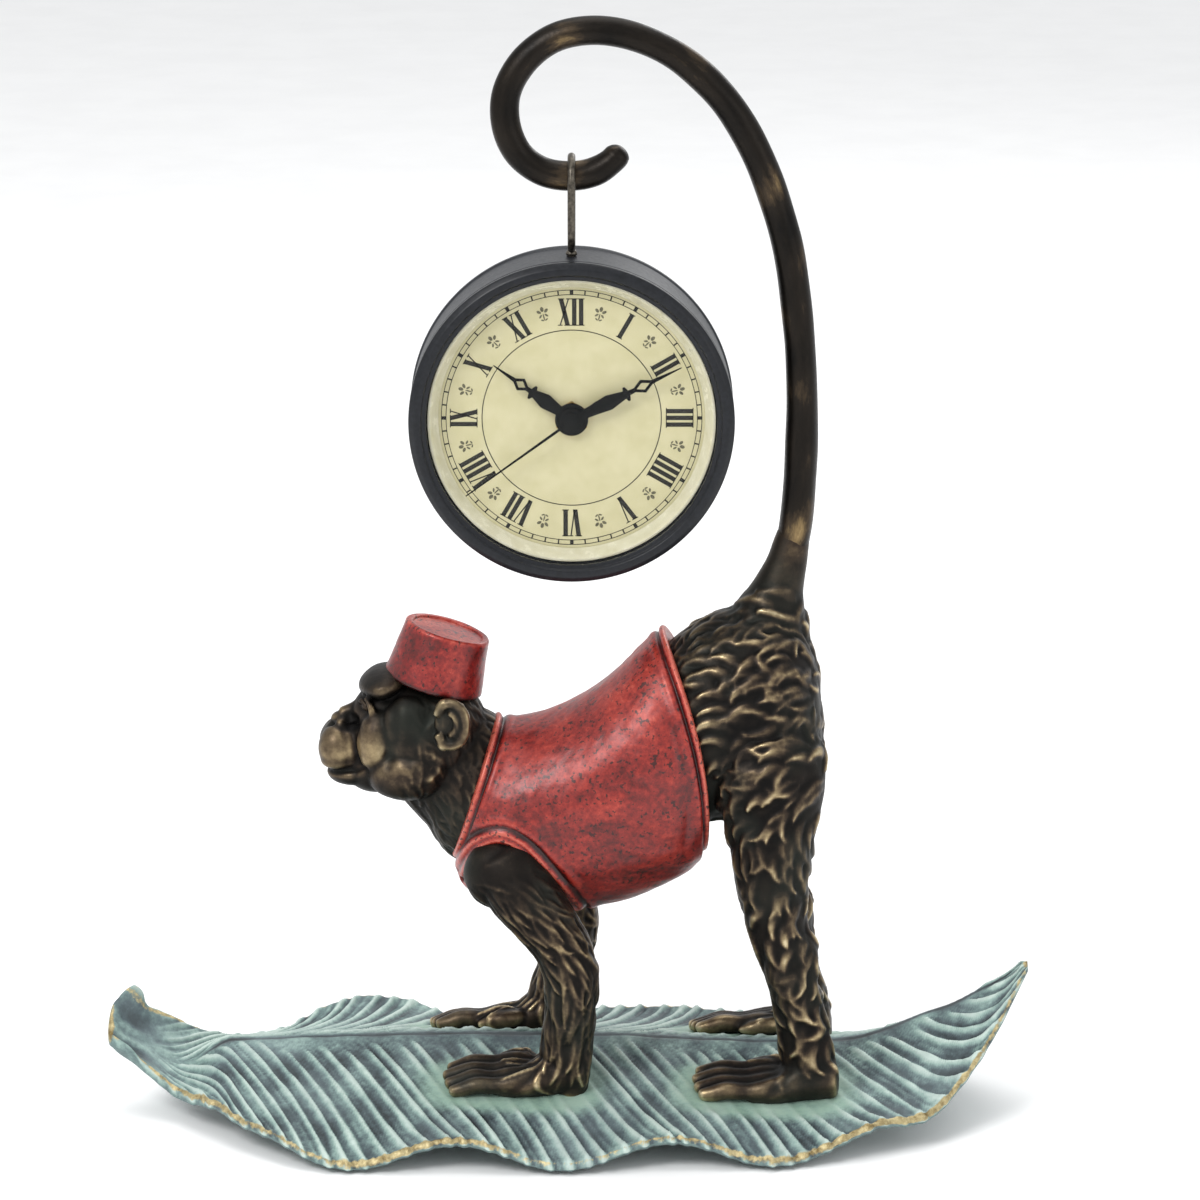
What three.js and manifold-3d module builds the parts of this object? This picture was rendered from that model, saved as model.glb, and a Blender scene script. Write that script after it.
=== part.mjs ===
// Cast-metal monkey clock: a monkey in a fez and waistcoat stands on all fours on a leaf,
// and a round quartz clock hangs by a wire ring from the hook of its tail.
// Millimetres, +Z up, the monkey faces -X and the dial faces -Y.
// The origin is the centre of the footprint, at table level.
import * as THREE from "three";
import { mergeVertices } from "three/addons/utils/BufferGeometryUtils.js";
import Module from "manifold-3d";

const wasm = await Module();
wasm.setup();

// ---- driving dimensions ----
const GAP = 0.3; // between pieces that rest on each other
const FINEST = 0.03; // detail smaller than this is left out

const LEAF_LENGTH = 267;
const LEAF_HALF_WIDTH = 62;
const LEAF_THICK = 2.2;
const LEAF_WAVE = 3.4; // how far the frilled edge rises and dips
const RIB_HEIGHT = 22; // the midrib above the table, where the monkey stands

const PAD_RADIUS = 6;
const PAD_THICK = 1.2;
const PAD_FROM_END = 73.5; // a pad's middle, from the leaf's end and from its widest edge
const PAD_FROM_EDGE = 18;

const SCREW_RADIUS = 2;
const SCREW_HEAD_RADIUS = 3.8;
const SCREW_HEAD = 2.2;
const SCREW_BITE = 6; // how far a screw reaches into a hand or foot
const POST_RADIUS = 5.5;
const POST_FOOT_Z = 4; // the underside of a screw post above the table
const HOLE_CLEARANCE = 0.3;

const LIMB_Y = 26; // hands and feet, either side of the middle
const HAND = { heel: 5, tip: -36 }; // where a hand and a foot stand along the leaf
const FOOT = { heel: 77, tip: 35.5 };
const SCREW_FROM_HEEL = 10;
const FAR_HAND_FORWARD = 5; // the far hand reaches this much further towards the stalk

const TAIL_RADIUS = 4.4;
const HOOK_RADIUS = 4.1;

const TAIL_TOP = 320.1; // the top of the tail over the table

const CASE_WALL = 2;
const CASE_ROOM = 4.4; // between the movement's corners and the drum
const BEZEL_WIDTH = 5;
const CRYSTAL_THICK = 1.2;
const HAND_THICK = 0.5;
const HOUR_HAND = 27;
const MINUTE_HAND = 34.5;
const SECOND_HAND = 37;

const RING_WIRE = 1.1;
const RING_SPAN = 22.3; // from the middle of the hook's bar down to the drum

const MOVEMENT_FRONT = 3; // front of the movement box, along the clock's own axis
const MOVEMENT_WALL = 1.2;
const MOVEMENT_COVER = 1.4;
const CELL_RADIUS = 7;
const CELL_LENGTH = 49.5;
const CELL_ROOM = 0.6; // round the cell
const CONTACT_ROOM = 2.05; // at each end of the cell

// Time shown at rest: ten past ten, and about forty seconds.
const REST_TIME = { hours: 10, minutes: 10.65 };

// ---- materials ----
const finish = (color, roughness, metalness) =>
  new THREE.MeshStandardMaterial({ color, roughness, metalness });
const BRONZE = finish(0x3a332b, 0.5, 0.7);
const RED = finish(0xa32a26, 0.4, 0.2);
const VERDIGRIS = finish(0x7f9a90, 0.7, 0.3);
const BLACK_PAINT = finish(0x23262c, 0.5, 0.3);
const CREAM = finish(0xe6dfb9, 0.6, 0);
const BLACK = finish(0x121212, 0.4, 0.3);
const CLEAR = finish(0xeef2f2, 0.05, 0);
const STEEL = finish(0x8d8d8a, 0.3, 0.9);
const BRASS = finish(0xb08d4a, 0.35, 0.9);
const PLASTIC = finish(0x1d1e20, 0.6, 0);
const WHITE_PLASTIC = finish(0xe9e9e4, 0.5, 0);
const COPPER = finish(0xa85a2c, 0.4, 0.8);
const BOARD = finish(0x2e6b3c, 0.5, 0);
const RUBBER = finish(0x2b2b2b, 0.9, 0);
const FELT = finish(0x1f3b2a, 1, 0);

// ---- solids ----
function solidOf(geometry) {
  const bare = geometry.index ? geometry.toNonIndexed() : geometry.clone();
  bare.deleteAttribute("normal");
  bare.deleteAttribute("uv");
  const merged = mergeVertices(bare, 1e-3);
  return new wasm.Manifold(
    new wasm.Mesh({
      numProp: 3,
      vertProperties: merged.attributes.position.array,
      triVerts: new Uint32Array(merged.index.array),
    }),
  );
}

function geometryOf(solid) {
  const mesh = solid.simplify(FINEST).getMesh();
  const xyz = new Float32Array(mesh.numVert * 3);
  for (let i = 0; i < mesh.numVert; i++)
    xyz.set(mesh.vertProperties.subarray(i * mesh.numProp, i * mesh.numProp + 3), i * 3);
  const geometry = new THREE.BufferGeometry();
  geometry.setAttribute("position", new THREE.BufferAttribute(xyz, 3));
  geometry.setIndex(new THREE.BufferAttribute(mesh.triVerts, 1));
  geometry.computeVertexNormals();
  return geometry;
}

const joined = (...geometries) =>
  geometryOf(geometries.map(solidOf).reduce((whole, next) => whole.add(next)));

// What is left of a solid after the cuts: its largest piece.
function cutBy(geometry, ...tools) {
  const left = tools.map(solidOf).reduce((rest, tool) => rest.subtract(tool), solidOf(geometry));
  const pieces = left.decompose().sort((a, b) => b.volume() - a.volume());
  return geometryOf(pieces[0]);
}

// The same solid with its skin pushed out by a distance, or drawn in by a negative one.
function swollen(geometry, by) {
  const bare = geometry.clone();
  bare.deleteAttribute("normal");
  bare.deleteAttribute("uv");
  const grown = mergeVertices(bare, 1e-3);
  grown.computeVertexNormals();
  const { position, normal } = grown.attributes;
  for (let i = 0; i < position.count; i++)
    position.setXYZ(
      i,
      position.getX(i) + by * normal.getX(i),
      position.getY(i) + by * normal.getY(i),
      position.getZ(i) + by * normal.getZ(i),
    );
  return grown;
}

const moved = (geometry, x, y, z) => geometry.clone().translate(x, y, z);

// A cylinder along Z from z = low to z = high.
function rod(radius, low, high, sides = 20, topRadius = radius) {
  const geometry = new THREE.CylinderGeometry(topRadius, radius, high - low, sides);
  return geometry.rotateX(Math.PI / 2).translate(0, 0, (low + high) / 2);
}

function block(x0, x1, y0, y1, z0, z1) {
  const geometry = new THREE.BoxGeometry(x1 - x0, y1 - y0, z1 - z0);
  return geometry.translate((x0 + x1) / 2, (y0 + y1) / 2, (z0 + z1) / 2);
}

// A closed ring turned about Z from a profile of [radius, z] points, counter-clockwise.
function turned(profile, sides = 40) {
  const points = [...profile, profile[0]].map(([r, z]) => new THREE.Vector2(r, z));
  return new THREE.LatheGeometry(points, sides).rotateX(Math.PI / 2);
}

// ---- sculpted shapes ----
// A skin is stretched over oval stations. A station is [ax, az, bx, bz, y, half width]: a and b are
// its two extremes in the side view. The stations are joined by smooth curves.
function skin(stations, rings, sides = 14) {
  const line = (i, j, k) =>
    new THREE.CatmullRomCurve3(
      stations.map((s) => new THREE.Vector3(s[i], s[j], k === undefined ? 0 : s[k])),
      false,
      "centripetal",
    );
  const lineA = line(0, 1);
  const lineB = line(2, 3);
  const middle = line(4, 5);
  const xyz = [];
  for (let r = 0; r <= rings; r++) {
    const t = r / rings;
    const a = lineA.getPoint(t);
    const b = lineB.getPoint(t);
    const m = middle.getPoint(t);
    for (let s = 0; s < sides; s++) {
      const turn = (2 * Math.PI * s) / sides;
      const along = Math.cos(turn) / 2;
      xyz.push(
        (a.x + b.x) / 2 + (a.x - b.x) * along,
        m.x + m.y * Math.sin(turn),
        (a.y + b.y) / 2 + (a.y - b.y) * along,
      );
    }
  }
  return capped(xyz, rings, sides);
}

// Closes a stack of rings with a point in the middle of each end ring.
function capped(xyz, rings, sides) {
  const index = [];
  const at = (r, s) => r * sides + (s % sides);
  for (let r = 0; r < rings; r++)
    for (let s = 0; s < sides; s++) {
      index.push(at(r, s), at(r, s + 1), at(r + 1, s));
      index.push(at(r, s + 1), at(r + 1, s + 1), at(r + 1, s));
    }
  for (const end of [0, rings]) {
    const centre = [0, 0, 0];
    for (let s = 0; s < sides; s++)
      for (let k = 0; k < 3; k++) centre[k] += xyz[3 * at(end, s) + k] / sides;
    xyz.push(...centre);
    const pole = xyz.length / 3 - 1;
    for (let s = 0; s < sides; s++)
      if (end === 0) index.push(at(0, s + 1), at(0, s), pole);
      else index.push(at(rings, s), at(rings, s + 1), pole);
  }
  const geometry = new THREE.BufferGeometry();
  geometry.setAttribute("position", new THREE.Float32BufferAttribute(xyz, 3));
  geometry.setIndex(index);
  return facingOut(geometry);
}

// Turns a closed mesh so that its faces point out.
function facingOut(geometry) {
  const p = geometry.attributes.position;
  const index = geometry.index.array;
  const v = [new THREE.Vector3(), new THREE.Vector3(), new THREE.Vector3()];
  let volume = 0;
  for (let i = 0; i < index.length; i += 3) {
    v.forEach((corner, k) => corner.fromBufferAttribute(p, index[i + k]));
    volume += v[0].dot(v[1].cross(v[2]));
  }
  if (volume < 0)
    for (let i = 0; i < index.length; i += 3)
      [index[i + 1], index[i + 2]] = [index[i + 2], index[i + 1]];
  return geometry;
}

// A round bar along a smooth curve through points, with a radius for each point and rounded ends.
function bar(points, radii, rings, sides = 12) {
  const path = new THREE.CatmullRomCurve3(
    points.map(([x, y, z]) => new THREE.Vector3(x, y, z)), false, "centripetal");
  const size = new THREE.CatmullRomCurve3(
    radii.map((r) => new THREE.Vector3(r, 0, 0)), false, "centripetal");
  const side = new THREE.Vector3();
  const up = new THREE.Vector3();
  const xyz = [];
  for (let r = 0; r <= rings; r++) {
    const t = r / rings;
    const middle = path.getPoint(t);
    const tangent = path.getTangent(t);
    side.set(0, 1, 0).addScaledVector(tangent, -tangent.y).normalize();
    up.crossVectors(tangent, side);
    const radius = size.getPoint(t).x;
    for (let s = 0; s < sides; s++) {
      const turn = (2 * Math.PI * s) / sides;
      const point = middle.clone()
        .addScaledVector(side, radius * Math.cos(turn))
        .addScaledVector(up, radius * Math.sin(turn));
      xyz.push(point.x, point.y, point.z);
    }
  }
  return capped(xyz, rings, sides);
}

// ---- the leaf ----
const HALF_LENGTH = LEAF_LENGTH / 2;
const smoothCurve = (points) =>
  new THREE.SplineCurve(points.map(([x, value]) => new THREE.Vector2(x, value)));

// A height over x, read from a smooth curve; its points give x as a share of half the leaf's length.
function heightAt(points) {
  const curve = smoothCurve(points.map(([share, value]) => [share * HALF_LENGTH, value]));
  const table = curve.getPoints(200);
  return (x) => {
    const i = table.findIndex((p) => p.x >= x);
    if (i <= 0) return (i === 0 ? table[0] : table[table.length - 1]).y;
    const [p, q] = [table[i - 1], table[i]];
    return p.y + ((q.y - p.y) * (x - p.x)) / (q.x - p.x);
  };
}

// The midrib's height over the table, from the stalk at -X to the tip at +X.
const ribHeight = heightAt([
  [-1, RIB_HEIGHT + 13], [-0.884, RIB_HEIGHT + 3.5], [-0.749, RIB_HEIGHT - 1],
  [-0.517, RIB_HEIGHT - 0.5], [-0.255, RIB_HEIGHT + 0.5], [0.075, RIB_HEIGHT], [0.464, RIB_HEIGHT - 2],
  [0.637, RIB_HEIGHT - 0.5], [0.749, RIB_HEIGHT + 5], [0.884, RIB_HEIGHT + 13], [1, RIB_HEIGHT + 22],
]);
// The edge's mean height, without the frill: its lowest point clears the table.
const EDGE_HEIGHT = LEAF_WAVE + LEAF_THICK + 0.6;
const edgeHeight = heightAt([
  [-1, RIB_HEIGHT + 6], [-0.884, 17.5], [-0.779, 12.5], [-0.689, EDGE_HEIGHT + 1.4], [-0.584, EDGE_HEIGHT],
  [-0.3, EDGE_HEIGHT], [0, EDGE_HEIGHT], [0.375, EDGE_HEIGHT], [0.644, EDGE_HEIGHT + 0.4],
  [0.772, EDGE_HEIGHT + 3], [0.854, 17], [0.921, 27], [1, RIB_HEIGHT + 21],
]);
// Half the leaf's width, as a share of its widest.
const widthShare = heightAt([
  [-1, 0.115], [-0.929, 0.13], [-0.846, 0.24], [-0.772, 0.43], [-0.689, 0.66], [-0.584, 0.87],
  [-0.412, 0.96], [-0.075, 0.97], [0.262, 0.94], [0.487, 0.89], [0.644, 0.79], [0.772, 0.61], [0.869, 0.4],
  [0.944, 0.2], [1, 0.04],
]);
const FRILL_PITCH = 61;
const FRILL_PHASE = { near: -62, far: -38 }; // x of a low point on each side

// The frill fades out towards the stalk and the tip.
function frill(x, side) {
  const along = x / HALF_LENGTH;
  const fade =
    THREE.MathUtils.smoothstep(along, -0.75, -0.56) * (1 - THREE.MathUtils.smoothstep(along, 0.66, 0.84));
  return -LEAF_WAVE * fade * Math.cos((2 * Math.PI * (x - FRILL_PHASE[side])) / FRILL_PITCH);
}

// The leaf's top surface, at x and at a share v of the half width, from -1 (near) to 1 (far).
function leafPoint(x, v) {
  const side = v < 0 ? "near" : "far";
  const share = Math.abs(v);
  const rib = ribHeight(x);
  const edge = edgeHeight(x) + frill(x, side) * share ** 3;
  const reach = LEAF_HALF_WIDTH * widthShare(x) - 0.5 * frill(x, side) * share ** 3;
  return new THREE.Vector3(x, Math.sign(v) * share * reach, rib + (edge - rib) * share ** 0.92);
}

// Both faces of the leaf over a grid, closed round the rim. A drop thickens it downwards.
function leafShell(drop, lift = 0, columns = 36, rows = 8) {
  const xyz = [];
  const index = [];
  const across = rows + 1;
  for (const side of [lift, -drop])
    for (let i = 0; i <= columns; i++)
      for (let j = 0; j <= rows; j++) {
        const p = leafPoint(-HALF_LENGTH + (LEAF_LENGTH * i) / columns, (2 * j) / rows - 1);
        xyz.push(p.x, p.y, p.z + side);
      }
  const top = (i, j) => i * across + j;
  const under = (i, j) => top(i, j) + (columns + 1) * across;
  const quad = (a, b, c, d) => index.push(a, b, c, a, c, d);
  for (let i = 0; i < columns; i++)
    for (let j = 0; j < rows; j++) {
      quad(top(i, j), top(i + 1, j), top(i + 1, j + 1), top(i, j + 1));
      quad(under(i, j), under(i, j + 1), under(i + 1, j + 1), under(i + 1, j));
    }
  for (let i = 0; i < columns; i++) {
    quad(top(i, 0), under(i, 0), under(i + 1, 0), top(i + 1, 0));
    quad(top(i, rows), top(i + 1, rows), under(i + 1, rows), under(i, rows));
  }
  for (let j = 0; j < rows; j++) {
    quad(top(0, j), top(0, j + 1), under(0, j + 1), under(0, j));
    quad(top(columns, j), under(columns, j), under(columns, j + 1), top(columns, j + 1));
  }
  const geometry = new THREE.BufferGeometry();
  geometry.setAttribute("position", new THREE.Float32BufferAttribute(xyz, 3));
  geometry.setIndex(index);
  return facingOut(geometry);
}

const leafZ = (x, y) => leafPoint(x, y / (LEAF_HALF_WIDTH * widthShare(x))).z;
const leafCutter = leafShell(30, GAP); // takes away whatever would sink into the leaf

const padX = HALF_LENGTH - PAD_FROM_END;
const padY = LEAF_HALF_WIDTH - PAD_FROM_EDGE;
const padPlaces = [[-padX, -padY], [-padX, padY], [padX, -padY], [padX, padY]];
const screwPlaces = {
  near_hand: [HAND.heel - SCREW_FROM_HEEL, -LIMB_Y],
  far_hand: [HAND.heel - SCREW_FROM_HEEL - FAR_HAND_FORWARD, LIMB_Y],
  near_foot: [FOOT.heel - SCREW_FROM_HEEL, -LIMB_Y + 1],
  far_foot: [FOOT.heel - SCREW_FROM_HEEL, LIMB_Y - 1],
};

function leafBase() {
  const above = leafShell(LEAF_THICK / 2, 40);
  const column = (radius, low) => ([x, y]) =>
    cutBy(moved(rod(radius, low, 2 * RIB_HEIGHT, 16), x, y, 0), above);
  const bosses = padPlaces.map(column(PAD_RADIUS, PAD_THICK + GAP));
  const posts = Object.values(screwPlaces).map(column(POST_RADIUS, POST_FOOT_Z));
  const holes = Object.values(screwPlaces).map(([x, y]) =>
    moved(rod(SCREW_RADIUS + HOLE_CLEARANCE, 0, 2 * RIB_HEIGHT, 12), x, y, 0));
  return cutBy(joined(leafShell(LEAF_THICK), ...bosses, ...posts), ...holes);
}

// ---- the monkey ----
// Its heights are given with the midrib 22 mm over the table, and it rises with the midrib.
const RISE = RIB_HEIGHT - 22;
// Hands and feet are alike: a wedge of a palm or sole and five digits that point to -X.
function paw(heelX, toeX, y, { width, heel, instep, digit }) {
  const palmEnd = heelX + (toeX - heelX) * 0.58;
  const ground = leafZ(heelX - 10, y);
  const palm = skin([
    [heelX + 1, ground + heel * 0.5, heelX + 1, ground + 1, y, width * 0.1],
    [heelX - 1, ground + heel, heelX, ground - 4, y, width * 0.34],
    [heelX - 9, ground + instep + 3, heelX - 8, ground - 5, y, width * 0.42],
    [palmEnd + 5, ground + instep - 2, palmEnd + 5, ground - 5, y, width * 0.5],
    [palmEnd - 3, ground + digit * 2, palmEnd - 3, ground - 4, y, width * 0.46],
  ], 5, 9);
  const digits = [-2, -1, 0, 1, 2].map((n) => {
    const rootY = y + n * width * 0.2;
    const tipY = y + n * width * 0.27;
    const tipX = toeX + Math.abs(n - 0.4) * 2.2;
    const knuckleX = (palmEnd + tipX) / 2 - 1;
    return bar([
      [palmEnd + 2, rootY, leafZ(palmEnd, rootY) + digit],
      [knuckleX, (rootY + tipY) / 2, leafZ(knuckleX, (rootY + tipY) / 2) + digit * 1.1],
      [tipX + 2, tipY, leafZ(tipX + 2, tipY) + digit * 0.8],
      [tipX, tipY, leafZ(tipX, tipY) + digit * 0.6],
    ], [digit, digit, digit * 0.9, digit * 0.3], 4, 6);
  });
  return joined(palm, ...digits);
}

// An arm from the shoulder to the fingertips; side is -1 for the near one and 1 for the far one.
// The hand stands `forward` of its place, and the forearm slopes to it.
function arm(side, forward, screw) {
  const y = (share) => side * (LIMB_Y - 6 + 8 * share);
  const to = (share, value) => value - forward * share;
  const upper = skin([
    [-22, 86, -15, 89, y(-0.4), 3], [-28.5, 79, -11, 86.5, y(0), 8.5], [-24, 70.5, -6.5, 80.5, y(0.3), 9],
    [-16.5, 62, -0.5, 71, y(0.6), 8.5], [-8, 53, 6.5, 58.5, y(0.9), 8], [-6.2, 44, 8.6, 47, y(1), 7.6],
    [to(0.3, -6), 37, to(0.3, 8.2), 36, y(0.95), 7], [to(0.7, -7.2), 29, to(0.7, 7.4), 28, y(0.85), 6.6],
    [to(0.9, -7), 22, to(0.9, 6.6), 18, y(0.8), 6.6], [to(1, -5), 15, to(1, 5.6), 11, y(0.75), 5],
  ], 12, 10);
  const size = { width: 17, heel: 12, instep: 9, digit: 2.1 };
  const hand = paw(HAND.heel - forward, HAND.tip - forward, side * LIMB_Y, size);
  return fastened(joined(moved(upper, 0, 0, RISE), hand), screw);
}

// A leg from the thigh, where it leaves the haunches, to the toes.
function leg(side, screw) {
  const y = (share) => side * (LIMB_Y - 10 + 9 * share);
  const upper = skin([
    [47, 118, 66, 121, y(0), 4], [42.5, 108, 73, 114, y(0), 10], [44, 95, 74, 101, y(0), 12],
    [46.5, 84, 71, 86, y(0.2), 11.5], [49.5, 70, 68.6, 70, y(0.5), 10], [53, 58, 69.4, 58, y(0.8), 8.6],
    [58.3, 44, 72.6, 43, y(1), 7.6], [60.5, 32, 75, 32, y(1), 7.2], [61.5, 24, 76.5, 22, y(1), 7.4],
    [62, 17, 77, 12, y(1), 6.5],
  ], 12, 10);
  const foot = paw(FOOT.heel, FOOT.tip, side * LIMB_Y, { width: 17, heel: 10, instep: 10, digit: 2.1 });
  return fastened(joined(moved(upper, 0, 0, RISE), foot), screw);
}

// Beds a limb on the leaf and drills it for its screw.
function fastened(limb, [x, y]) {
  const hole = moved(rod(SCREW_RADIUS + HOLE_CLEARANCE, 0, leafZ(x, y) + SCREW_BITE + 0.5, 12), x, y, 0);
  return cutBy(limb, leafCutter, hole);
}

// The trunk, which is the painted waistcoat: a hollow casting open at the neck and the haunches.
const TRUNK = [
  [-20.5, 118, -33, 78, 0, 18.5], [-16, 117, -29.5, 68, 0, 22.5], [-6, 118.5, -17, 62.5, 0, 25.5],
  [5, 124.5, -1, 60.5, 0, 27], [15, 132.5, 14, 62.5, 0, 27.5], [21, 138.5, 27, 67.5, 0, 27.5],
  [25.5, 142.5, 36.5, 73, 0, 26.5], [28, 144, 40, 80, 0, 25.5],
];
const TRUNK_WALL = 3;

function waistcoat(...fitted) {
  const trunk = moved(skin(TRUNK, 9, 14), 0, 0, RISE);
  const hollow = swollen(moved(skin(TRUNK.slice(1, -1), 5, 8), 0, 0, RISE), -TRUNK_WALL);
  return cutBy(trunk, hollow, ...fitted.map((piece) => swollen(piece, GAP)));
}

// The haunches carry the tail and reach forward into the waistcoat.
function haunches(...fitted) {
  const body = skin([
    [17, 127, 18, 74, 0, 17], [22, 132, 27, 78, 0, 21], [30, 139, 37, 84, 0, 22.5],
    [36, 144.5, 43, 88, 0, 23.6], [46, 149, 50, 87, 0, 24.5], [56, 150, 58, 90, 0, 24.5],
    [65, 146, 66, 93, 0, 21.5], [71, 136, 72, 98, 0, 15], [73.2, 124, 73.6, 107, 0, 7],
  ], 12, 14);
  return cutBy(moved(body, 0, 0, RISE), ...fitted.map((piece) => swollen(piece, GAP)));
}

const TAIL_SPIGOT = 3;
const TAIL_ROOT_Z = 150;

// The tail rises from the rump, bends over the clock and curls back into a hook. Its shape is
// drawn for a top at 320.1 and stretches upwards with the real one.
const TAIL_PATH = [
  [58, TAIL_ROOT_Z - 3], [61, 158], [65, 173], [66.6, 196], [66.5, 217], [65, 237],
  [61.7, 257], [56.4, 274], [49.6, 288.5], [40.8, 300.4], [30, 309.2], [18, 314.6],
  [6.5, 316], [-3.5, 313.8], [-11.6, 307.6], [-16.6, 298.5], [-16.8, 289],
  [-13.2, 281], [-6.6, 276.2], [1.5, 274.8], [8, 276], [13, 279.2], [16.4, 283.6],
];
const HANG_POINT = 19; // the low point of the hook, where the ring hangs
const tailStretch = (TAIL_TOP - HOOK_RADIUS - RISE - TAIL_ROOT_Z) / (316 - TAIL_ROOT_Z);
const tailHeight = (z) => RISE + TAIL_ROOT_Z + (z - TAIL_ROOT_Z) * tailStretch;
const HANG_X = TAIL_PATH[HANG_POINT][0];
const HANG_Z = tailHeight(TAIL_PATH[HANG_POINT][1]);

function tail() {
  const thick = TAIL_PATH.map((_, i) => {
    if (i < 3) return TAIL_RADIUS + [5.1, 2.2, 0.5][i];
    if (i === TAIL_PATH.length - 1) return HOOK_RADIUS * 0.4;
    if (i === TAIL_PATH.length - 2) return HOOK_RADIUS * 0.83;
    return i < 10 ? TAIL_RADIUS : HOOK_RADIUS;
  });
  const rising = bar(TAIL_PATH.map(([x, z]) => [x, 0, tailHeight(z)]), thick, 50, 8);
  const spigot = moved(rod(TAIL_SPIGOT, 132, TAIL_ROOT_Z, 12), 58, 0, RISE);
  return joined(rising, spigot);
}

function headCasting(...fitted) {
  const skull = skin([
    [-70.5, 111, -70, 103, 0, 3], [-68.5, 115.5, -68, 99, 0, 8], [-64, 119, -62, 97.5, 0, 10.5],
    [-59.5, 123, -56, 95.5, 0, 12.5], [-57.5, 131.5, -50, 93, 0, 15.5], [-50, 134.5, -43, 90, 0, 17],
    [-38, 132.5, -34, 91, 0, 17.5], [-27, 127, -26, 97, 0, 15], [-22, 118, -22.5, 104, 0, 7],
  ], 12, 12);
  const neck = skin([
    [-34, 119, -47, 93, 0, 11], [-27, 120, -41, 86.5, 0, 13.5], [-21.5, 118.5, -34, 77, 0, 15.5],
    [-15, 112, -25, 74, 0, 17], [-9, 106, -18, 76, 0, 12],
  ], 7, 14);
  const ears = [-1, 1].map((side) =>
    new THREE.SphereGeometry(1, 8, 6).scale(4.6, 2.2, 6.6).rotateY(-0.25)
      .translate(-32.5, side * 17, 120.5));
  const brow = bar([[-55, -11, 127], [-58.5, -5, 130], [-58.5, 5, 130], [-55, 11, 127]], [2, 3.4, 3.4, 2], 5, 6);
  const casting = moved(joined(skull, neck, ...ears, brow), 0, 0, RISE);
  return cutBy(casting, hatSolid(GAP), ...fitted.map((piece) => swollen(piece, GAP)));
}

// The fez sits on the crown, leaning back, on a flat seat.
const HAT = { baseRadius: 14.3, topRadius: 12.3, height: 17, lean: 0.28, x: -38.5, z: 127.6 };
function hatSolid(grow = 0) {
  return rod(HAT.baseRadius + grow, -grow, HAT.height, 28, HAT.topRadius + grow)
    .rotateY(HAT.lean).translate(HAT.x, 0, HAT.z + RISE);
}

// ---- fasteners and pads ----
// A pan-head screw from under the leaf into a hand or a foot.
function limbScrew([x, y]) {
  const head = rod(SCREW_HEAD_RADIUS, POST_FOOT_Z - GAP - SCREW_HEAD, POST_FOOT_Z - GAP, 14);
  const shank = rod(SCREW_RADIUS, POST_FOOT_Z - GAP - 0.5, leafZ(x, y) + SCREW_BITE, 12);
  const slot = block(-4, 4, -0.5, 0.5, 0, POST_FOOT_Z - GAP - SCREW_HEAD + 0.9);
  return moved(cutBy(joined(head, shank), slot), x, y, 0);
}

const pad = ([x, y]) => moved(rod(PAD_RADIUS, 0, PAD_THICK, 20), x, y, 0);

// ---- the clock, in its own frame: z points out of the dial and y is up ----
const PLATE_BACK = MOVEMENT_FRONT - MOVEMENT_WALL;
const MOVEMENT_BACK = PLATE_BACK - 2 * CELL_RADIUS + 0.2; // the cell stands a little proud of it
const COVER_FRONT = MOVEMENT_BACK + MOVEMENT_COVER;
const FLOOR_THICK = 1.2;
const DIAL_THICK = 0.5;
const HOUSING_FLOOR = MOVEMENT_FRONT + GAP;
const DIAL_BACK = HOUSING_FLOOR + FLOOR_THICK + GAP;
const DIAL_FACE = DIAL_BACK + DIAL_THICK;
const NUT_TOP = DIAL_FACE + GAP + 1.2;
const HAND_ROOM = 0.5; // between one hand and the next
const HOUR_LEVEL = NUT_TOP + HAND_ROOM;
const MINUTE_LEVEL = HOUR_LEVEL + HAND_THICK + HAND_ROOM;
const SECOND_LEVEL = MINUTE_LEVEL + HAND_THICK + HAND_ROOM;
const SECOND_CAP = 0.6;
const CRYSTAL_BACK = SECOND_LEVEL + SECOND_CAP + HAND_ROOM;
const CRYSTAL_TOP = CRYSTAL_BACK + CRYSTAL_THICK;
const BEZEL_LIP = 2; // how thick the bezel is over the crystal's edge
const CLOCK_FRONT = CRYSTAL_TOP + GAP + BEZEL_LIP;
const CLOCK_BACK = MOVEMENT_BACK - 2;

// The movement box: a room for the train over a bay for the cell.
const TRAIN_ROOM = 10.4; // from the stem down to the wall over the cell
const HALF_SIDE = CELL_LENGTH / 2 + CONTACT_ROOM + MOVEMENT_WALL;
const BAY_TOP = -TRAIN_ROOM - MOVEMENT_WALL;
const BAY_FLOOR = BAY_TOP - 2 * (CELL_RADIUS + CELL_ROOM);
const BOX_BOTTOM = BAY_FLOOR - MOVEMENT_WALL;
const INNER = HALF_SIDE - MOVEMENT_WALL;

const CASE_INNER = Math.hypot(HALF_SIDE, Math.max(HALF_SIDE, -BOX_BOTTOM)) + CASE_ROOM;
const CLOCK_RADIUS = CASE_INNER + CASE_WALL;
const DIAL_VIEW_RADIUS = CLOCK_RADIUS - BEZEL_WIDTH; // what the bezel leaves open
const CRYSTAL_RADIUS = DIAL_VIEW_RADIUS + 1;
const HOUSING_OUTER = CASE_INNER - 1.2;
const CLOCK_Z = HANG_Z - RING_SPAN - CLOCK_RADIUS;
const STEM_RADIUS = 3.3;
const HOUR_PIPE = 2.2;
const MINUTE_PIPE = 1.4;
const SECOND_ARBOR = 0.6;
const PIPE_GAP = 0.35;

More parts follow.
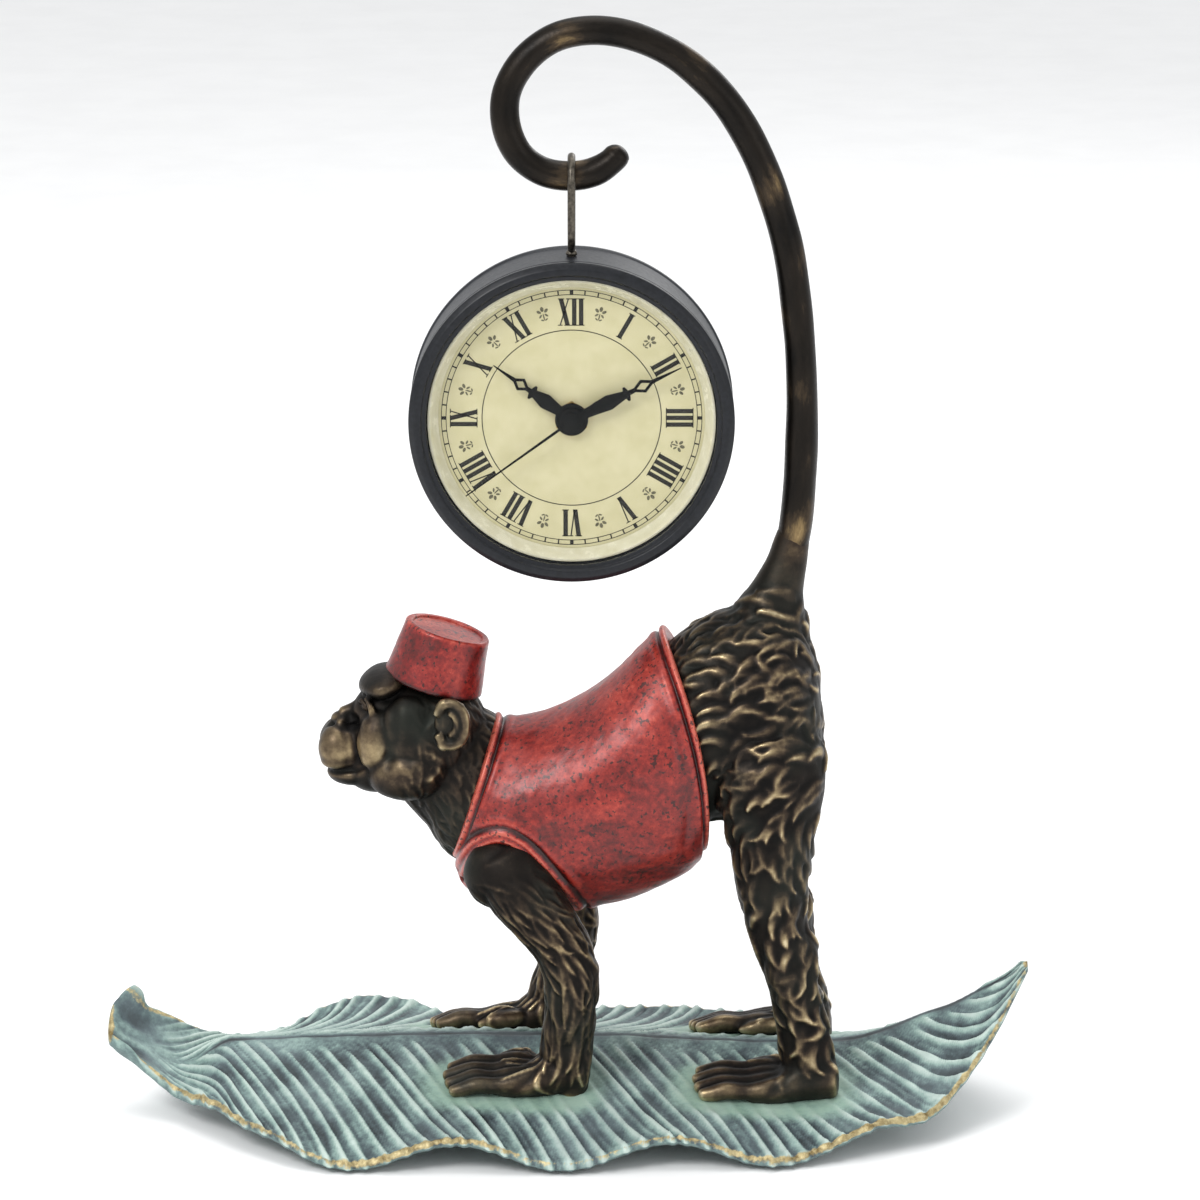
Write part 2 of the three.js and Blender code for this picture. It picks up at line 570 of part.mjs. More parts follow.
function caseDrum() {
  const back = CLOCK_BACK;
  const front = CLOCK_FRONT - BEZEL_LIP - 1.4;
  const drum = turned([
    [CASE_INNER - 2, back], [CLOCK_RADIUS - 0.8, back], [CLOCK_RADIUS, back + 0.8],
    [CLOCK_RADIUS, front], [CASE_INNER, front], [CASE_INNER, back + 1.6], [CASE_INNER - 2, back + 1.6],
  ]);
  const hole = rod(RING_WIRE + HOLE_CLEARANCE, 0, 20, 10)
    .rotateX(-Math.PI / 2).translate(0, CLOCK_RADIUS - 8, 0);
  return cutBy(drum, hole);
}

function bezel() {
  const foot = CLOCK_FRONT - BEZEL_LIP - 1.4 + GAP;
  return turned([
    [DIAL_VIEW_RADIUS, CLOCK_FRONT - BEZEL_LIP], [CRYSTAL_RADIUS + GAP, CLOCK_FRONT - BEZEL_LIP],
    [CRYSTAL_RADIUS + GAP, foot], [CLOCK_RADIUS, foot], [CLOCK_RADIUS, CLOCK_FRONT - 0.9],
    [CLOCK_RADIUS - 0.9, CLOCK_FRONT], [DIAL_VIEW_RADIUS + 0.7, CLOCK_FRONT],
    [DIAL_VIEW_RADIUS, CLOCK_FRONT - 0.8],
  ]);
}

const disc = (radius, low, high) => rod(radius, low, high, 40);

function crystal() {
  const rise = CRYSTAL_TOP;
  return new THREE.LatheGeometry([
    [0, CRYSTAL_BACK], [CRYSTAL_RADIUS, CRYSTAL_BACK], [CRYSTAL_RADIUS, rise], [0, rise],
  ].map(([r, z]) => new THREE.Vector2(r, z)), 40).rotateX(Math.PI / 2);
}

// The cream slope between the dial and the crystal.
function dialRing() {
  const low = DIAL_FACE + GAP;
  const high = CRYSTAL_BACK - GAP;
  return turned([
    [DIAL_VIEW_RADIUS - 3.4, low], [DIAL_VIEW_RADIUS - 0.3, low], [DIAL_VIEW_RADIUS - 0.3, high],
    [DIAL_VIEW_RADIUS - 0.9, high],
  ]);
}

function dial() {
  return cutBy(disc(DIAL_VIEW_RADIUS - 0.3, DIAL_BACK, DIAL_FACE), rod(STEM_RADIUS + GAP, 0, 9));
}

function insertHousing() {
  const rim = CRYSTAL_BACK - GAP;
  const cup = turned([
    [STEM_RADIUS + GAP, HOUSING_FLOOR], [HOUSING_OUTER, HOUSING_FLOOR], [HOUSING_OUTER, rim],
    [DIAL_VIEW_RADIUS, rim], [DIAL_VIEW_RADIUS, HOUSING_FLOOR + FLOOR_THICK],
    [STEM_RADIUS + GAP, HOUSING_FLOOR + FLOOR_THICK],
  ]);
  const holes = insertScrewPlaces.map(([x, y]) => moved(rod(1.2, 0, 6, 8), x, y, 0));
  return cutBy(cup, ...holes);
}

function gripRing() {
  const middle = (HOUSING_FLOOR + CRYSTAL_BACK) / 2;
  return turned([
    [HOUSING_OUTER + 0.2, middle - 1.5], [CASE_INNER - 0.2, middle - 0.6],
    [CASE_INNER - 0.2, middle + 0.6], [HOUSING_OUTER + 0.2, middle + 1.5],
  ]);
}

// ---- the hands ----
function outline(points, hole) {
  const shape = new THREE.Shape(points.map(([x, y]) => new THREE.Vector2(x, y)));
  if (hole) shape.holes.push(new THREE.Path(hole.map(([x, y]) => new THREE.Vector2(x, y))));
  return shape;
}

// A pierced hand: a thick bladed root, a collar, an open lozenge and a fine tip.
function piercedHand(length, hubRadius, hole, level, clockAngle) {
  const half = [
    [hubRadius * 0.7, 1.3], [length * 0.3, 1.9], [length * 0.46, 1.35], [length * 0.48, 2],
    [length * 0.52, 2], [length * 0.54, 0.9], [length * 0.57, 0.8], [length * 0.65, 1.9],
    [length * 0.73, 0.6], [length * 0.97, 0.35],
  ];
  const points = [
    ...half.map(([along, side]) => [side, along]), [0, length],
    ...half.slice().reverse().map(([along, side]) => [-side, along]),
  ];
  const lozenge = [[0, length * 0.59], [-1.1, length * 0.65], [0, length * 0.71], [1.1, length * 0.65]];
  const blade = new THREE.ExtrudeGeometry(outline(points, lozenge), {
    depth: HAND_THICK, bevelEnabled: false,
  }).translate(0, 0, level);
  const hub = rod(hubRadius, level, level + HAND_THICK);
  return cutBy(joined(blade, hub), rod(hole, level - 1, level + 2, 16)).rotateZ(-clockAngle);
}

function secondHand(clockAngle) {
  const blade = new THREE.ExtrudeGeometry(
    outline([[0.45, -9], [0.45, 0], [0.22, SECOND_HAND], [-0.22, SECOND_HAND], [-0.45, 0], [-0.45, -9]]),
    { depth: 0.3, bevelEnabled: false },
  ).translate(0, 0, SECOND_LEVEL);
  const cap = rod(2.3, SECOND_LEVEL, SECOND_LEVEL + SECOND_CAP, 20);
  const bore = rod(SECOND_ARBOR + 0.05, SECOND_LEVEL - 1, SECOND_LEVEL + 0.3, 12);
  return cutBy(joined(blade, cap), bore).rotateZ(-clockAngle);
}

// ---- the train ----
const TURN = 2 * Math.PI;
// A wheel with pointed teeth, slack enough to run freely; a tooth points along `phase`.
function toothed(teeth, module, low, high, phase = 0) {
  const pitch = (teeth * module) / 2;
  const shape = new THREE.Shape();
  for (let i = 0; i < 2 * teeth; i++) {
    const radius = i % 2 ? pitch - 1.15 * module : pitch + 0.5 * module;
    const angle = phase + (i * TURN) / (2 * teeth);
    shape[i ? "lineTo" : "moveTo"](radius * Math.cos(angle), radius * Math.sin(angle));
  }
  shape.closePath();
  const options = { depth: high - low, bevelEnabled: false };
  return new THREE.ExtrudeGeometry(shape, options).translate(0, 0, low);
}

// Where each arbor stands, as [x, y] from the stem, and how its wheels mesh.
const SECONDS_MODULE = 0.6;
const THIRD_MODULE = 0.4;
const ROTOR_MODULE = 0.35;
const MOTION_MODULE = 0.45;
const TEETH = {
  rotor: 6, intermediate: 36, intermediatePinion: 6, seconds: 30, secondsPinion: 6,
  third: 48, thirdPinion: 6, centre: 45, cannon: 10, minuteWork: 30, minuteWorkPinion: 8, hour: 32, setting: 10,
};
const spacing = (a, b, module) => ((TEETH[a] + TEETH[b]) * module) / 2;
const polar = (from, distance, degrees) => {
  const angle = THREE.MathUtils.degToRad(degrees);
  return [from[0] + distance * Math.cos(angle), from[1] + distance * Math.sin(angle)];
};
const THIRD_DISTANCE = spacing("secondsPinion", "third", THIRD_MODULE);
const CENTRE_MODULE = (2 * THIRD_DISTANCE) / (TEETH.thirdPinion + TEETH.centre);
const DIRECTION = { third: 60, intermediate: 160, rotor: 165, minuteWork: 0, setting: 0 };
const STEM = [0, 0];
const thirdAt = polar(STEM, THIRD_DISTANCE, DIRECTION.third);
const intermediateAt = polar(
  STEM, spacing("intermediatePinion", "seconds", SECONDS_MODULE), DIRECTION.intermediate);
const rotorAt = polar(intermediateAt, spacing("rotor", "intermediate", ROTOR_MODULE), DIRECTION.rotor);
const minuteWorkAt = polar(STEM, spacing("cannon", "minuteWork", MOTION_MODULE), DIRECTION.minuteWork);
const settingAt = polar(minuteWorkAt, spacing("setting", "minuteWork", MOTION_MODULE), DIRECTION.setting);

// The phase that puts a gap, not a tooth, towards the mating wheel.
const toGap = (teeth, degrees) => THREE.MathUtils.degToRad(degrees) + Math.PI / teeth;
const toTooth = (degrees) => THREE.MathUtils.degToRad(degrees);

// Heights of the wheels along the clock's axis.
const LEVEL = {
  seconds: [-8, -7], secondsPinion: [-7, -5.4], third: [-6.6, -5.9], thirdPinion: [-5.9, -3.6],
  centre: [-4.9, -4.1], intermediate: [-9.9, -9.1], intermediatePinion: [-9.1, -6.7],
  rotorPinion: [-10.2, -8.8], cannon: [-3, -1.3], minuteWork: [-2.5, -1.8], minuteWorkPinion: [-1.8, 0.1],
  hour: [-1, -0.2], setting: [-2.7, -1.6],
};

function secondsWheel() {
  return joined(
    toothed(TEETH.seconds, SECONDS_MODULE, ...LEVEL.seconds, toTooth(DIRECTION.intermediate)),
    toothed(TEETH.secondsPinion, THIRD_MODULE, LEVEL.secondsPinion[0] - 0.1, LEVEL.secondsPinion[1],
      toTooth(DIRECTION.third)),
    rod(SECOND_ARBOR, COVER_FRONT + GAP, SECOND_LEVEL + 0.25, 12),
  );
}

function thirdWheel() {
  return moved(joined(
    toothed(TEETH.third, THIRD_MODULE, ...LEVEL.third, toGap(TEETH.third, DIRECTION.third + 180)),
    toothed(TEETH.thirdPinion, CENTRE_MODULE, LEVEL.thirdPinion[0] - 0.1, LEVEL.thirdPinion[1],
      toTooth(DIRECTION.third + 180)),
    rod(0.5, COVER_FRONT + GAP, PLATE_BACK - GAP, 8),
  ), ...thirdAt, 0);
}

function centreWheel() {
  const wheel = toothed(TEETH.centre, CENTRE_MODULE, ...LEVEL.centre, toGap(TEETH.centre, DIRECTION.third));
  return cutBy(wheel, rod(MINUTE_PIPE + GAP, -9, 0, 12));
}

function intermediateWheel() {
  return moved(joined(
    toothed(TEETH.intermediate, ROTOR_MODULE, ...LEVEL.intermediate,
      toGap(TEETH.intermediate, DIRECTION.rotor)),
    toothed(TEETH.intermediatePinion, SECONDS_MODULE, LEVEL.intermediatePinion[0] - 0.1,
      LEVEL.intermediatePinion[1], toGap(TEETH.intermediatePinion, DIRECTION.intermediate + 180)),
    rod(0.4, COVER_FRONT + 0.1, PLATE_BACK - GAP, 8),
  ), ...intermediateAt, 0);
}

const ROTOR_MAGNET = 2.6;
function rotor() {
  return moved(joined(
    toothed(TEETH.rotor, ROTOR_MODULE, ...LEVEL.rotorPinion, toTooth(DIRECTION.rotor + 180)),
    rod(ROTOR_MAGNET, LEVEL.rotorPinion[1] - 0.1, -5.6, 16),
    rod(0.4, COVER_FRONT + 0.4, PLATE_BACK - GAP, 8),
  ), ...rotorAt, 0);
}

function cannonPinion() {
  const body = joined(
    toothed(TEETH.cannon, MOTION_MODULE, ...LEVEL.cannon, toTooth(DIRECTION.minuteWork)),
    rod(MINUTE_PIPE, LEVEL.centre[0], MINUTE_LEVEL + HAND_THICK, 16),
  );
  return cutBy(body, rod(SECOND_ARBOR + PIPE_GAP, -9, 12, 12));
}

function minuteWorkWheel() {
  return moved(joined(
    toothed(TEETH.minuteWork, MOTION_MODULE, ...LEVEL.minuteWork,
      toGap(TEETH.minuteWork, DIRECTION.minuteWork + 180)),
    toothed(TEETH.minuteWorkPinion, MOTION_MODULE, LEVEL.minuteWorkPinion[0] - 0.1,
      LEVEL.minuteWorkPinion[1], toTooth(DIRECTION.minuteWork + 180)),
    rod(0.5, LEVEL.minuteWork[0] - 0.8, PLATE_BACK - GAP, 8),
  ), ...minuteWorkAt, 0);
}

function hourWheel() {
  const body = joined(
    toothed(TEETH.hour, MOTION_MODULE, ...LEVEL.hour, toGap(TEETH.hour, DIRECTION.minuteWork)),
    rod(HOUR_PIPE, LEVEL.hour[1] - 0.1, HOUR_LEVEL + HAND_THICK, 20),
  );
  return cutBy(body, rod(MINUTE_PIPE + PIPE_GAP, -9, 12, 16));
}

const KNOB_RADIUS = 5;
function settingKnob() {
  const grip = new THREE.Shape();
  const flutes = 16;
  for (let i = 0; i < 2 * flutes; i++) {
    const angle = (i * TURN) / (2 * flutes);
    const radius = i % 2 ? KNOB_RADIUS - 0.5 : KNOB_RADIUS;
    grip[i ? "lineTo" : "moveTo"](radius * Math.cos(angle), radius * Math.sin(angle));
  }
  grip.closePath();
  const knobFront = MOVEMENT_BACK - GAP;
  const head = new THREE.ExtrudeGeometry(grip, { depth: 2, bevelEnabled: false })
    .translate(0, 0, knobFront - 2);
  return moved(joined(
    toothed(TEETH.setting, MOTION_MODULE, ...LEVEL.setting, toTooth(DIRECTION.setting + 180)),
    rod(1, knobFront - 0.1, LEVEL.setting[0] + 0.1, 10),
    rod(0.5, LEVEL.setting[1] - 0.1, PLATE_BACK - GAP, 8),
    head,
  ), ...settingAt, 0);
}

// ---- the movement's case and its electrics ----
const PILLAR = HALF_SIDE - 5;
const insertScrewPlaces = [[-PILLAR, PILLAR], [PILLAR, PILLAR]];

function movementBase() {
  const shell = block(-HALF_SIDE, HALF_SIDE, BOX_BOTTOM, HALF_SIDE, COVER_FRONT + GAP, MOVEMENT_FRONT);
  const room = block(-INNER, INNER, -TRAIN_ROOM, INNER, COVER_FRONT - 5, PLATE_BACK);
  const bay = block(-INNER, INNER, BAY_FLOOR, BAY_TOP, COVER_FRONT - 5, PLATE_BACK);
  const stem = rod(STEM_RADIUS, MOVEMENT_FRONT - 0.1, NUT_TOP + 0.1, 20);
  const bore = rod(HOUR_PIPE + PIPE_GAP, 0, 12, 20);
  const pillars = insertScrewPlaces.map(([x, y]) => moved(rod(2.2, COVER_FRONT + GAP, PLATE_BACK + 0.1, 10), x, y, 0));
  const drilled = insertScrewPlaces.map(([x, y]) => moved(rod(1.2, MOVEMENT_BACK, 6, 8), x, y, 0));
  const open = cutBy(shell, room, bay);
  return cutBy(joined(open, stem, ...pillars), bore, ...drilled);
}

// The rear cover closes the train and leaves the cell's bay open.
function movementCover() {
  const plate = block(-HALF_SIDE, HALF_SIDE, BAY_TOP, HALF_SIDE, MOVEMENT_BACK, COVER_FRONT);
  const stemHole = moved(rod(1 + PIPE_GAP, -20, 0, 12), ...settingAt, 0);
  const screws = insertScrewPlaces.map(([x, y]) => moved(rod(1.2, -20, 0, 8), x, y, 0));
  return cutBy(plate, stemHole, ...screws);
}

// Two long screws hold the cover, the movement box and the insert's floor together.
function insertScrew([x, y]) {
  const head = rod(2, MOVEMENT_BACK - GAP - 1.2, MOVEMENT_BACK - GAP, 12);
  const shank = rod(0.9, MOVEMENT_BACK - GAP - 0.1, HOUSING_FLOOR + 1, 8);
  return moved(joined(head, shank), x, y, 0);
}

function centreNut() {
  return cutBy(rod(5, DIAL_FACE + GAP, NUT_TOP, 6), rod(STEM_RADIUS + PIPE_GAP, 0, 12, 20));
}

const COIL_Y = 21.5;
function coil() {
  const bobbin = rod(3, -8, 8, 14).rotateY(Math.PI / 2);
  return moved(cutBy(bobbin, block(-30, 30, -1.2, 1.2, -0.6, 0.6)), -8, COIL_Y, -6);
}

// The soft-iron plate that carries the coil's field to the rotor.
function stator() {
  const z0 = -6.3;
  const z1 = -5.7;
  const core = block(-19.8, 4, COIL_Y - 0.9, COIL_Y + 0.9, z0, z1);
  const [x, y] = rotorAt;
  const ring = moved(rod(ROTOR_MAGNET + 2.4, z0, z1, 16), x, y, 0);
  const link = block(x - 2.5, x + 0.5, y + ROTOR_MAGNET + 1, COIL_Y, z0, z1);
  return cutBy(joined(core, link, ring), moved(rod(ROTOR_MAGNET + 0.4, z0 - 1, z1 + 1, 16), x, y, 0));
}

const circuitBoard = () => block(2, 20, 15.2, 18, -9, -8).translate(0, 3.2, 0);
const quartzCan = () => rod(1.5, -3.5, 3.5, 12).rotateY(Math.PI / 2).translate(14, 23.6, -4);

const CELL_Y = BAY_FLOOR + CELL_ROOM + CELL_RADIUS;
const CELL_Z = PLATE_BACK - CELL_RADIUS - 0.4;
function cell() {
  const can = rod(CELL_RADIUS, -CELL_LENGTH / 2, CELL_LENGTH / 2 - 1.2, 24);
  const nub = rod(2.7, CELL_LENGTH / 2 - 1.3, CELL_LENGTH / 2, 12);
  return joined(can, nub).rotateY(Math.PI / 2).translate(0, CELL_Y, CELL_Z);
}
function contact(side) {
  const x = side * (INNER - 0.5);
  return block(x - 0.25, x + 0.25, CELL_Y - 3.5, CELL_Y + 3.5, CELL_Z - 4, PLATE_BACK - GAP);
}

// ---- the ring that hangs the clock, in world axes about the hook ----
const RING_HALF_WIDTH = HOOK_RADIUS + RING_WIRE + 1.4;
function hangerRing() {
  const top = HANG_Z + HOOK_RADIUS + GAP + RING_WIRE; // the middle of the wire over the hook
  const foot = CLOCK_Z + CLOCK_RADIUS + RING_WIRE + 0.6;
  const stretch = (top - foot) / 2 - RING_HALF_WIDTH;
  const eye = new THREE.TorusGeometry(RING_HALF_WIDTH, RING_WIRE, 8, 34).rotateZ(TURN / 68);
  const p = eye.attributes.position;
  for (let i = 0; i < p.count; i++) p.setY(i, p.getY(i) + Math.sign(p.getY(i)) * stretch);
  const link = eye.rotateX(Math.PI / 2).rotateZ(Math.PI / 2).translate(HANG_X, 0, (top + foot) / 2);
  const shank = rod(RING_WIRE, CLOCK_Z + CASE_INNER - 4.2, foot, 10).translate(HANG_X, 0, 0);
  return joined(link, shank);
}

function hangerNut() {
  const top = CLOCK_Z + CASE_INNER - 1.3;
  return moved(cutBy(rod(2.6, top - 2, top, 6), rod(RING_WIRE + 0.25, top - 5, top + 5, 10)), HANG_X, 0, 0);
}

// ---- assembly ----
const group = new THREE.Group();
function add(parent, name, geometry, material) {
  const mesh = new THREE.Mesh(geometry, material);
  mesh.name = name;
  parent.add(mesh);
}

const nearArm = arm(-1, 0, screwPlaces.near_hand);
const farArm = arm(1, FAR_HAND_FORWARD, screwPlaces.far_hand);
const nearLeg = leg(-1, screwPlaces.near_foot);
const farLeg = leg(1, screwPlaces.far_foot);
const head = headCasting(nearArm, farArm);
const tailPiece = tail();
const rump = haunches(nearLeg, farLeg, tailPiece);

add(group, "leaf_base", leafBase(), VERDIGRIS);
padPlaces.forEach((place, i) => add(group, `felt_pad_${i + 1}`, pad(place), FELT));
Object.entries(screwPlaces).forEach(([name, place]) =>
  add(group, `${name}_screw`, limbScrew(place), STEEL));
add(group, "near_arm", nearArm, BRONZE);
add(group, "far_arm", farArm, BRONZE);
add(group, "near_leg", nearLeg, BRONZE);
add(group, "far_leg", farLeg, BRONZE);
add(group, "haunches", rump, BRONZE);
add(group, "tail", tailPiece, BRONZE);
add(group, "head", head, BRONZE);
add(group, "fez", hatSolid(), RED);
add(group, "waistcoat", waistcoat(nearArm, farArm, head, rump, nearLeg, farLeg), RED);

add(group, "hanger_ring", hangerRing(), STEEL);
add(group, "hanger_nut", hangerNut(), STEEL);

const clock = new THREE.Group();
clock.position.set(HANG_X, 0, CLOCK_Z);
clock.rotation.x = Math.PI / 2;
group.add(clock);
add(clock, "case_drum", caseDrum(), BLACK_PAINT);
add(clock, "bezel", bezel(), BLACK_PAINT);
add(clock, "crystal", crystal(), CLEAR);
add(clock, "grip_ring", gripRing(), RUBBER);
add(clock, "insert_housing", insertHousing(), PLASTIC);
add(clock, "dial", dial(), CREAM);
add(clock, "dial_ring", dialRing(), CREAM);

const minuteTurn = (TURN * REST_TIME.minutes) / 60;
const hourTurn = (TURN * (REST_TIME.hours + REST_TIME.minutes / 60)) / 12;
const secondTurn = TURN * (REST_TIME.minutes % 1);
const hourHub = [5, HOUR_PIPE + 0.15, HOUR_LEVEL];
const minuteHub = [3.4, MINUTE_PIPE + 0.15, MINUTE_LEVEL];
add(clock, "hour_hand", piercedHand(HOUR_HAND, ...hourHub, hourTurn), BLACK);
add(clock, "minute_hand", piercedHand(MINUTE_HAND, ...minuteHub, minuteTurn), BLACK);
add(clock, "second_hand", secondHand(secondTurn), BLACK);

add(clock, "movement_base", movementBase(), PLASTIC);
add(clock, "movement_cover", movementCover(), PLASTIC);
insertScrewPlaces.forEach((place, i) => add(clock, `insert_screw_${i + 1}`, insertScrew(place), STEEL));
add(clock, "centre_nut", centreNut(), BRASS);
add(clock, "rotor", rotor(), WHITE_PLASTIC);
add(clock, "intermediate_wheel", intermediateWheel(), WHITE_PLASTIC);
add(clock, "seconds_wheel", secondsWheel(), WHITE_PLASTIC);
add(clock, "third_wheel", thirdWheel(), WHITE_PLASTIC);
add(clock, "centre_wheel", centreWheel(), WHITE_PLASTIC);
add(clock, "cannon_pinion", cannonPinion(), WHITE_PLASTIC);
add(clock, "minute_work_wheel", minuteWorkWheel(), WHITE_PLASTIC);
add(clock, "hour_wheel", hourWheel(), WHITE_PLASTIC);
add(clock, "setting_knob", settingKnob(), PLASTIC);
add(clock, "coil", coil(), COPPER);
add(clock, "stator", stator(), STEEL);
add(clock, "circuit_board", circuitBoard(), BOARD);
add(clock, "quartz_can", quartzCan(), STEEL);
add(clock, "cell", cell(), BRASS);
add(clock, "positive_contact", contact(1), STEEL);
add(clock, "negative_contact", contact(-1), STEEL);

export default group;
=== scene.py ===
import math

import bpy
import numpy as np
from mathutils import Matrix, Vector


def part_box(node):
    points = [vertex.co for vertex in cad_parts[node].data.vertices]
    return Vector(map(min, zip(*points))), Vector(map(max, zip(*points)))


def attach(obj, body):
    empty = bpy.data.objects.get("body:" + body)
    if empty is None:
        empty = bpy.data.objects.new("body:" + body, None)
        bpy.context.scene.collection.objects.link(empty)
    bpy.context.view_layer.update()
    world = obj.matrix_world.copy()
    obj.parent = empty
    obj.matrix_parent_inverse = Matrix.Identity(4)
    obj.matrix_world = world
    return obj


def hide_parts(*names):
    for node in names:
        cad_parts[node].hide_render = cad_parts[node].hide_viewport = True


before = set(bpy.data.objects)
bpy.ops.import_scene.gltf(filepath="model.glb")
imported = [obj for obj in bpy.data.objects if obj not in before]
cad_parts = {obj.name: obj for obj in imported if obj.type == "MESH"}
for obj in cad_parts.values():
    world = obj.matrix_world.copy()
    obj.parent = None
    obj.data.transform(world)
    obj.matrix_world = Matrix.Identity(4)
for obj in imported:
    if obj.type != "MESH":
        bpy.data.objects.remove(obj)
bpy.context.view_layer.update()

# A cast bronze monkey in a fez and waistcoat stands on a leaf and holds a round clock in the
# hook of its tail. Lengths below are millimetres; MM turns them to metres.
MM = 0.001
TURN = 2 * math.pi
CORNER_STEPS = 6  # flats that a rounded corner is drawn with


def box_mm(node):
    """A node's lowest and highest corners in millimetres."""
    return [np.array(corner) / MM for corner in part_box(node)]


# ---- the shop's tools: smooth curves and closed skins ----
# A shape is (points, quads, triangles), always closed, with its faces pointing out.

def smooth_curve(points, count):
    """Places along a smooth curve through points (centripetal Catmull-Rom), evenly stepped between them."""
    p = np.asarray(points, float)
    if p.ndim == 1:
        p = p[:, None]
    p = np.vstack([2 * p[0] - p[1], p, 2 * p[-1] - p[-2]])
    gap = np.maximum(np.linalg.norm(np.diff(p, axis=0), axis=1) ** 0.5, 1e-3)[:, None]
    step = np.linspace(0, len(p) - 3, count)
    i = np.minimum(step.astype(int), len(p) - 4)
    t = (step - i)[:, None]
    p0, p1, p2, p3 = p[i], p[i + 1], p[i + 2], p[i + 3]
    g0, g1, g2 = gap[i], gap[i + 1], gap[i + 2]
    m1 = g1 * ((p1 - p0) / g0 - (p2 - p0) / (g0 + g1) + (p2 - p1) / g1)
    m2 = g1 * ((p2 - p1) / g1 - (p3 - p1) / (g1 + g2) + (p3 - p2) / g2)
    return p1 + m1 * t + (3 * (p2 - p1) - 2 * m1 - m2) * t**2 + (2 * (p1 - p2) + m1 + m2) * t**3


def value_along(pairs):
    """A function of x that runs smoothly through (x, value) pairs."""
    line = smooth_curve(pairs, 40 * len(pairs))
    return lambda x: np.interp(x, line[:, 0], line[:, 1])


def ease(low, high, x):
    """0 below low, 1 above high and smooth between; low may be the larger."""
    t = np.clip((np.asarray(x, float) - low) / (high - low), 0, 1)
    return t * t * (3 - 2 * t)


def unit(vectors):
    return vectors / np.maximum(np.linalg.norm(vectors, axis=-1, keepdims=True), 1e-9)


def outward(shape):
    """The shape with its faces pointing out."""
    points, quads, tris = shape
    corners = [quads[:, [0, 1, 2]], quads[:, [0, 2, 3]], tris]
    a, b, c = (np.concatenate([points[f[:, k]] for f in corners]) for k in range(3))
    if np.einsum("ij,ij->i", a, np.cross(b, c)).sum() < 0:
        return points, quads[:, ::-1], tris[:, ::-1]
    return shape


def loft(rings):
    """A closed skin over rings of points, with a point in the middle of each end."""
    count, sides, _ = rings.shape
    at = np.arange(count * sides).reshape(count, sides)
    nxt = np.roll(at, -1, axis=1)
    quads = np.stack([at[:-1], nxt[:-1], nxt[1:], at[1:]], -1).reshape(-1, 4)
    poles = np.array([rings[0].mean(0), rings[-1].mean(0)])
    first = np.stack([nxt[0], at[0], np.full(sides, count * sides)], -1)
    last = np.stack([at[-1], nxt[-1], np.full(sides, count * sides + 1)], -1)
    points = np.concatenate([rings.reshape(-1, 3), poles])
    return outward((points, quads, np.concatenate([first, last])))


def band(rings):
    """A closed skin over rings of points, where the last ring joins the first."""
    count, sides, _ = rings.shape
    at = np.arange(count * sides).reshape(count, sides)
    nxt, on = np.roll(at, -1, axis=1), np.roll(at, -1, axis=0)
    quads = np.stack([at, nxt, np.roll(on, -1, axis=1), on], -1).reshape(-1, 4)
    return outward((rings.reshape(-1, 3), quads, np.zeros((0, 3), int)))


def together(*shapes):
    """Several closed shapes as one; overlapping ones still need to be melted."""
    points, quads, tris, start = [], [], [], 0
    for p, q, t in shapes:
        points.append(p)
        quads.append(q + start)
        tris.append(t + start)
        start += len(p)
    return np.concatenate(points), np.concatenate(quads), np.concatenate(tris)


def skin(stations, rings=70, sides=48):
    """Oval sections [ax, az, bx, bz, y, half width]; a and b are each one's extremes in the side view."""
    s = np.asarray(stations, float)
    a = smooth_curve(s[:, 0:2], rings)
    b = smooth_curve(s[:, 2:4], rings)
    m = smooth_curve(s[:, 4:6], rings)
    turn = np.linspace(0, TURN, sides, endpoint=False)
    along = (np.cos(turn) / 2)[None, :, None]
    side = m[:, :1] + m[:, 1:] * np.sin(turn)[None, :]
    flat = ((a + b) / 2)[:, None] + (a - b)[:, None] * along
    return loft(np.stack([flat[..., 0], side, flat[..., 1]], -1))


def bar(points, radii, rings, sides):
    """A round bar along a smooth curve, its radius smooth between the given ones."""
    middle = smooth_curve(points, rings)
    radius = smooth_curve(radii, rings)[:, 0]
    tangent = unit(np.gradient(middle, axis=0))
    across = np.array([0, 1.0, 0]) - tangent * tangent[:, 1:2]
    across = np.where(np.linalg.norm(across, axis=1, keepdims=True) < 0.2, [1.0, 0, 0], across)
    side = unit(across)
    up = np.cross(tangent, side)
    turn = np.linspace(0, TURN, sides, endpoint=False)[None, :, None]
    size = radius[:, None, None]
    return loft(middle[:, None] + size * (side[:, None] * np.cos(turn) + up[:, None] * np.sin(turn)))


def ball(centre, radii, lean=0.0):
    """An ellipsoid, leaned about the side-to-side axis."""
    polar = np.linspace(0, math.pi, 26)[1:-1]
    turn = np.linspace(0, TURN, 32, endpoint=False)
    x = np.cos(polar)[:, None] + 0 * turn
    y = np.sin(polar)[:, None] * np.cos(turn)
    z = np.sin(polar)[:, None] * np.sin(turn)
    p = np.stack([x, y, z], -1) * np.asarray(radii, float)
    c, s = math.cos(lean), math.sin(lean)
    p = np.stack([c * p[..., 0] + s * p[..., 2], p[..., 1], c * p[..., 2] - s * p[..., 0]], -1)
    return loft(p + np.asarray(centre, float))


def both_sides(make):
    return make(-1) + make(1)


